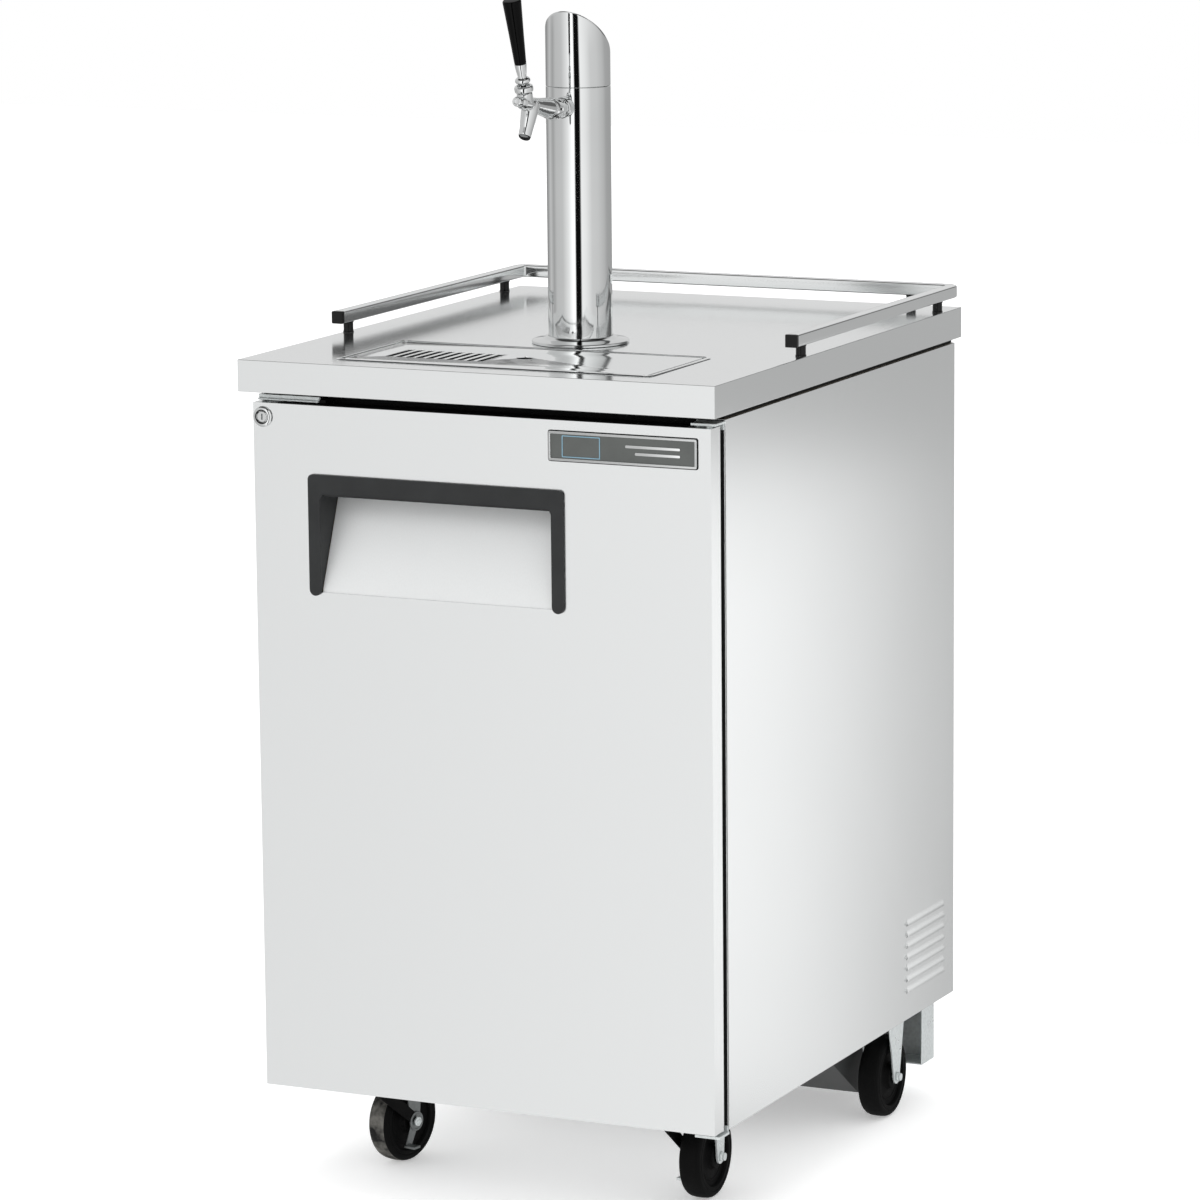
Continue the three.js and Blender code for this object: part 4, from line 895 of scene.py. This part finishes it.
def hex_nut(name, body, centre, axis):
    """A thin chamfered nut with the end of its bolt."""
    across, thick, bolt = 11.0, 3.0, 3.2
    corner = across * 0.577
    nut = lathe([(0, 0), (corner, 0), (corner, thick - 0.9), (across * 0.5, thick), (0, thick)], 6)
    end = lathe([(0, 0), (bolt, 0), (bolt, thick + 0.5), (bolt - 1.0, thick + 1.1), (0, thick + 1.2)], 24)
    bm = transformed(merged([nut, end]), Matrix.Translation(centre) @ facing(axis))
    piece(name, bm, body, ZINC, edge=0.35)


def slab(outline, start, end):
    """A plate from an outline of (y, z) points, between two x values."""
    return loft([[(x, y, z) for y, z in outline] for x in (start, end)])


def brake(side, centre, axis):
    """A ringed dial on the axle's inner end, a black arm and pad over the wheel, and a tab below."""
    left = side == "left"
    inward = axis * (1 if left else -1)
    back = UP.cross(axis)
    at = Matrix.Translation(centre) @ Matrix((inward, back, UP)).transposed().to_4x4()
    near, far = 20.3, 22.6
    tab_width = 15.6 if left else 8.0
    pad_end = -28.0
    dial = lathe([
        (5.2, near), (12.0, near), (12.0, far), (11.4, far + 0.6), (9.6, far + 0.6), (9.0, far - 0.4),
        (5.2, far - 0.4), (5.2, near)], 48)
    transformed(dial, facing((1, 0, 0)))
    shank = slab([(-9, 0), (1, -9), (-10, -29), (-20, -26)], near, far - 0.6)
    tab = slab([(-22, -29), (-10, -29), (-10, -26), (-22, -26)], near, near + tab_width)
    arm = slab([(-9, -1), (-70, 45), (-70, 52), (-52, 52), (1, 9)], near, far - 0.4)
    pad = slab([(-70, 48), (-52, 48), (-52, 52), (-70, 52)], pad_end, far - 0.4)
    # Painted shade: the left brake's dial gets the dark zinc.
    for name, parts, material, slot in (
            ("dial", [dial, shank, tab], SHADED_ZINC if left else ZINC, "zinc"),
            ("arm", [arm, pad], TYRE, "black_plastic")):
        bm = transformed(merged(parts), at)
        bmesh.ops.recalc_face_normals(bm, faces=bm.faces)
        stands_for = [f"{side}_brake_pedal"] if name == "dial" else []
        piece(f"{side}_brake_{name}", bm, f"{side}_brake", material, stands_for, edge=0.4)


def casters():
    """Four wheels on their joints' axes, a brake on each front one and a nut on each end of each axle."""
    leg_face, dial_face = 20.2, 23.0
    joints = {joint["child"]: joint for joint in frame["joints"]}
    for side in ("left", "right"):
        for end in ("front", "rear"):
            node = f"{side}_{end}_wheel"
            joint = joints[node]
            axis = Vector(joint["axis"]).normalized()
            centre = Vector(joint["pos_m"])
            wheel(node, centre, axis)
            if end == "front":
                brake(side, centre, axis)
            carrier = f"{side}_caster" if end == "front" else "cabinet"
            for number, way in enumerate((-1, 1)):
                inner = end == "front" and way == (1 if side == "left" else -1)
                face = dial_face if inner else leg_face
                hex_nut(f"{node}_nut_{number}", carrier, centre + way * face * MM * axis, way * axis)


# ---------------------------------------------------------------- screws

def screw(name, body, centre, axis):
    """A pan-head screw with a small round recess."""
    radius = 4.0
    head = lathe([
        (0.9, 1.5), (1.3, 2.1), (radius * 0.6, 2.0), (radius * 0.9, 1.4), (radius, 0.5), (radius, 0.0),
        (0, 0.0)], 24)
    piece(name, transformed(head, along(axis, centre)), body, ZINC)


def rear_screws():
    """Two columns of three screws round the rear panel's edge."""
    low, high = millimetres("rear_panel")
    inset_x, inset_z = 14, 22
    rows = (low.z + inset_z, (low.z + high.z) / 2, high.z - inset_z)
    for i, z in enumerate(rows):
        for j, x in enumerate((low.x + inset_x, high.x - inset_x)):
            screw(f"rear_screw_{i}_{j}", "cabinet", (x, high.y, z), (0, 1, 0))


# ---------------------------------------------------------------- studio

def plain_floor():
    """A pale floor that glows a little, so that it stays white under the object, and isn't reflected."""
    bm = bmesh.new()
    bmesh.ops.create_grid(bm, x_segments=8, y_segments=8, size=12.0)
    mesh = bpy.data.meshes.new("floor")
    bm.to_mesh(mesh)
    floor = bpy.data.objects.new("floor", mesh)
    bpy.context.scene.collection.objects.link(floor)
    material = new_material("floor_paper", {
        "Base Color": grey(0.93), "Roughness": 0.9, "Emission Color": grey(1.0), "Emission Strength": 0.34})
    mesh.materials.append(material)
    floor.location.z = -0.0005
    floor.visible_glossy = False


def softbox(name, centre, target, size, power, glossy=True):
    """A rectangular area light that the camera doesn't see."""
    light = bpy.data.lights.new(name, "AREA")
    light.shape = "RECTANGLE"
    light.size, light.size_y = size
    light.energy = power
    lamp = bpy.data.objects.new(name, light)
    bpy.context.scene.collection.objects.link(lamp)
    aim = (Vector(target) - Vector(centre)).to_track_quat("-Z", "Y")
    lamp.matrix_world = Matrix.Translation(centre) @ aim.to_matrix().to_4x4()
    lamp.visible_camera = False
    lamp.visible_glossy = glossy


# Brightness of the room below eye level, by degrees from the front towards the right. The black band from
# 12 to 29 degrees is what draws the dark stripe down the chrome tower.
ROOM = [
    (-180, 0.41), (-127, 0.31), (-98, 0.67), (-79, 0.45), (-64, 0.64), (-37, 0.68), (-25, 0.84), (-14, 1.0),
    (-3, 1.29), (0, 1.3), (1.5, 1.5), (6.5, 1.5), (8, 1.3), (10, 1.2), (12, 0.005), (29, 0.005), (33, 1.13),
    (49, 1.03), (60, 0.91), (71, 0.77), (96, 0.73), (124, 0.60), (140, 0.47), (180, 0.41)]
# The same above eye level, where the wall behind is bright but for a dark corner at its right.
UPPER_ROOM = [
    (-180, 0.74), (-120, 0.70), (-64, 0.66), (-37, 0.72), (-25, 0.86), (-14, 1.0), (-3, 1.29), (0, 1.3),
    (1.5, 1.5), (6.5, 1.5), (8, 1.3), (10, 1.2), (12, 0.005), (29, 0.005), (33, 1.1), (49, 1.0), (96, 0.75),
    (124, 0.6), (138, 0.14), (168, 0.14), (176, 0.74), (180, 0.74)]
# A dark ring high up draws a fine line along every rounded edge, by the height of the direction.
CEILING = [(0.0, 1.0), (0.66, 1.0), (0.76, 0.1), (0.93, 0.1), (0.985, 0.7), (1.0, 0.7)]
ROOM_PEAK = 1.5


def ramp(tree, share, stops):
    """A colour ramp from (place, tone) pairs."""
    made = add_node(tree, "ShaderNodeValToRGB", {"Fac": share})
    elements = made.color_ramp.elements
    elements[0].position, elements[-1].position = stops[0][0], stops[-1][0]
    elements[0].color, elements[-1].color = grey(stops[0][1]), grey(stops[-1][1])
    for place, tone in stops[1:-1]:
        elements.new(place).color = grey(tone)
    return made.outputs["Color"]


def around(stops):
    """Ramp stops from degrees round the object."""
    return [((degrees + 180) / 360, tone / ROOM_PEAK) for degrees, tone in stops]


def studio_world():
    """White for the camera and for soft light, and a room with bright and dark sides for reflections."""
    world = bpy.data.worlds.new("studio")
    bpy.context.scene.world = world
    world.cycles.sampling_method = "NONE"
    world.use_nodes = True
    tree = world.node_tree
    tree.nodes.clear()
    direction = add_node(tree, "ShaderNodeTexCoord").outputs["Generated"]
    parts = add_node(tree, "ShaderNodeSeparateXYZ", {"Vector": direction})
    frontward = add_node(tree, "ShaderNodeMath", {0: parts.outputs["Y"], 1: -1.0}, operation="MULTIPLY")
    turn = add_node(tree, "ShaderNodeMath", {
        0: parts.outputs["X"], 1: frontward.outputs["Value"]}, operation="ARCTAN2")
    share = remap(tree, turn.outputs["Value"], 0.0, 1.0, -math.pi, math.pi)
    above = remap(tree, parts.outputs["Z"], 0.0, 1.0, 0.0, 0.07)
    walls = blend(tree, above, ramp(tree, share, around(ROOM)), ramp(tree, share, around(UPPER_ROOM)))
    ceiling = ramp(tree, parts.outputs["Z"], CEILING)
    surround = add_node(tree, "ShaderNodeMix", {"Factor": 1.0, 6: walls, 7: ceiling}, data_type="RGBA",
                        blend_type="MULTIPLY").outputs[2]
    reflected = add_node(tree, "ShaderNodeBackground", {"Color": surround, "Strength": ROOM_PEAK})
    plain = add_node(tree, "ShaderNodeBackground", {"Color": grey(1.0), "Strength": 1.0})
    rays = add_node(tree, "ShaderNodeLightPath")
    either = add_node(tree, "ShaderNodeMixShader", {
        0: rays.outputs["Is Glossy Ray"], 1: plain.outputs["Background"], 2: reflected.outputs["Background"]})
    output = add_node(tree, "ShaderNodeOutputWorld")
    tree.links.new(either.outputs["Shader"], output.inputs["Surface"])


def lights():
    """A soft key from the front left, an overhead, and a low wash along the right side panel."""
    softbox("key", (-1.6, -3.6, 3.2), (0, 0, 0.5), (2.2, 1.6), 14, glossy=False)
    softbox("overhead", (0.2, 0.2, 3.6), (0, 0, 0), (2.6, 2.6), 20, glossy=False)
    softbox("side_wash", (1.46, 1.40, 0.05), (0.3, -0.3, 0.05), (1.1, 1.08), 2.6)


def camera():
    """The photograph's own view: place in metres, yaw, pitch and roll in radians, and focal length."""
    place = (2.7925, -5.9470, 1.8618)
    yaw, pitch, roll = 0.4414, 0.1793, -0.0095
    ahead = Vector((-math.sin(yaw) * math.cos(pitch), math.cos(yaw) * math.cos(pitch), -math.sin(pitch)))
    right = Vector((math.cos(yaw), math.sin(yaw), 0))
    up = right.cross(ahead)  # both are turned by the roll below
    right, up = (
        right * math.cos(roll) + up * math.sin(roll),
        up * math.cos(roll) - right * math.sin(roll))
    lens = bpy.data.cameras.new("camera")
    lens.lens = 165.62
    lens.sensor_width = 36.0
    lens.clip_end = 100.0
    eye = bpy.data.objects.new("camera", lens)
    bpy.context.scene.collection.objects.link(eye)
    turn = Matrix((right, up, -ahead)).transposed().to_4x4()
    eye.matrix_world = Matrix.Translation(place) @ turn
    bpy.context.scene.camera = eye


# ---------------------------------------------------------------- build

camera()
studio_world()
lights()
plain_floor()
bpy.context.scene.view_settings.view_transform = "Standard"
finish_cad_nodes()
tower_tube()
tower_slanted_cap()
tower_base()
shank_and_collar()
coupling_nut()
faucet_casting()
faucet_trim()
lever_and_handle()
gallery_rail()
rail_posts()
drip_tray()
drip_grille()
lock()
makers_plate()
shade_strips_and_strike()
casters()
rear_screws()

bpy.context.view_layer.update()
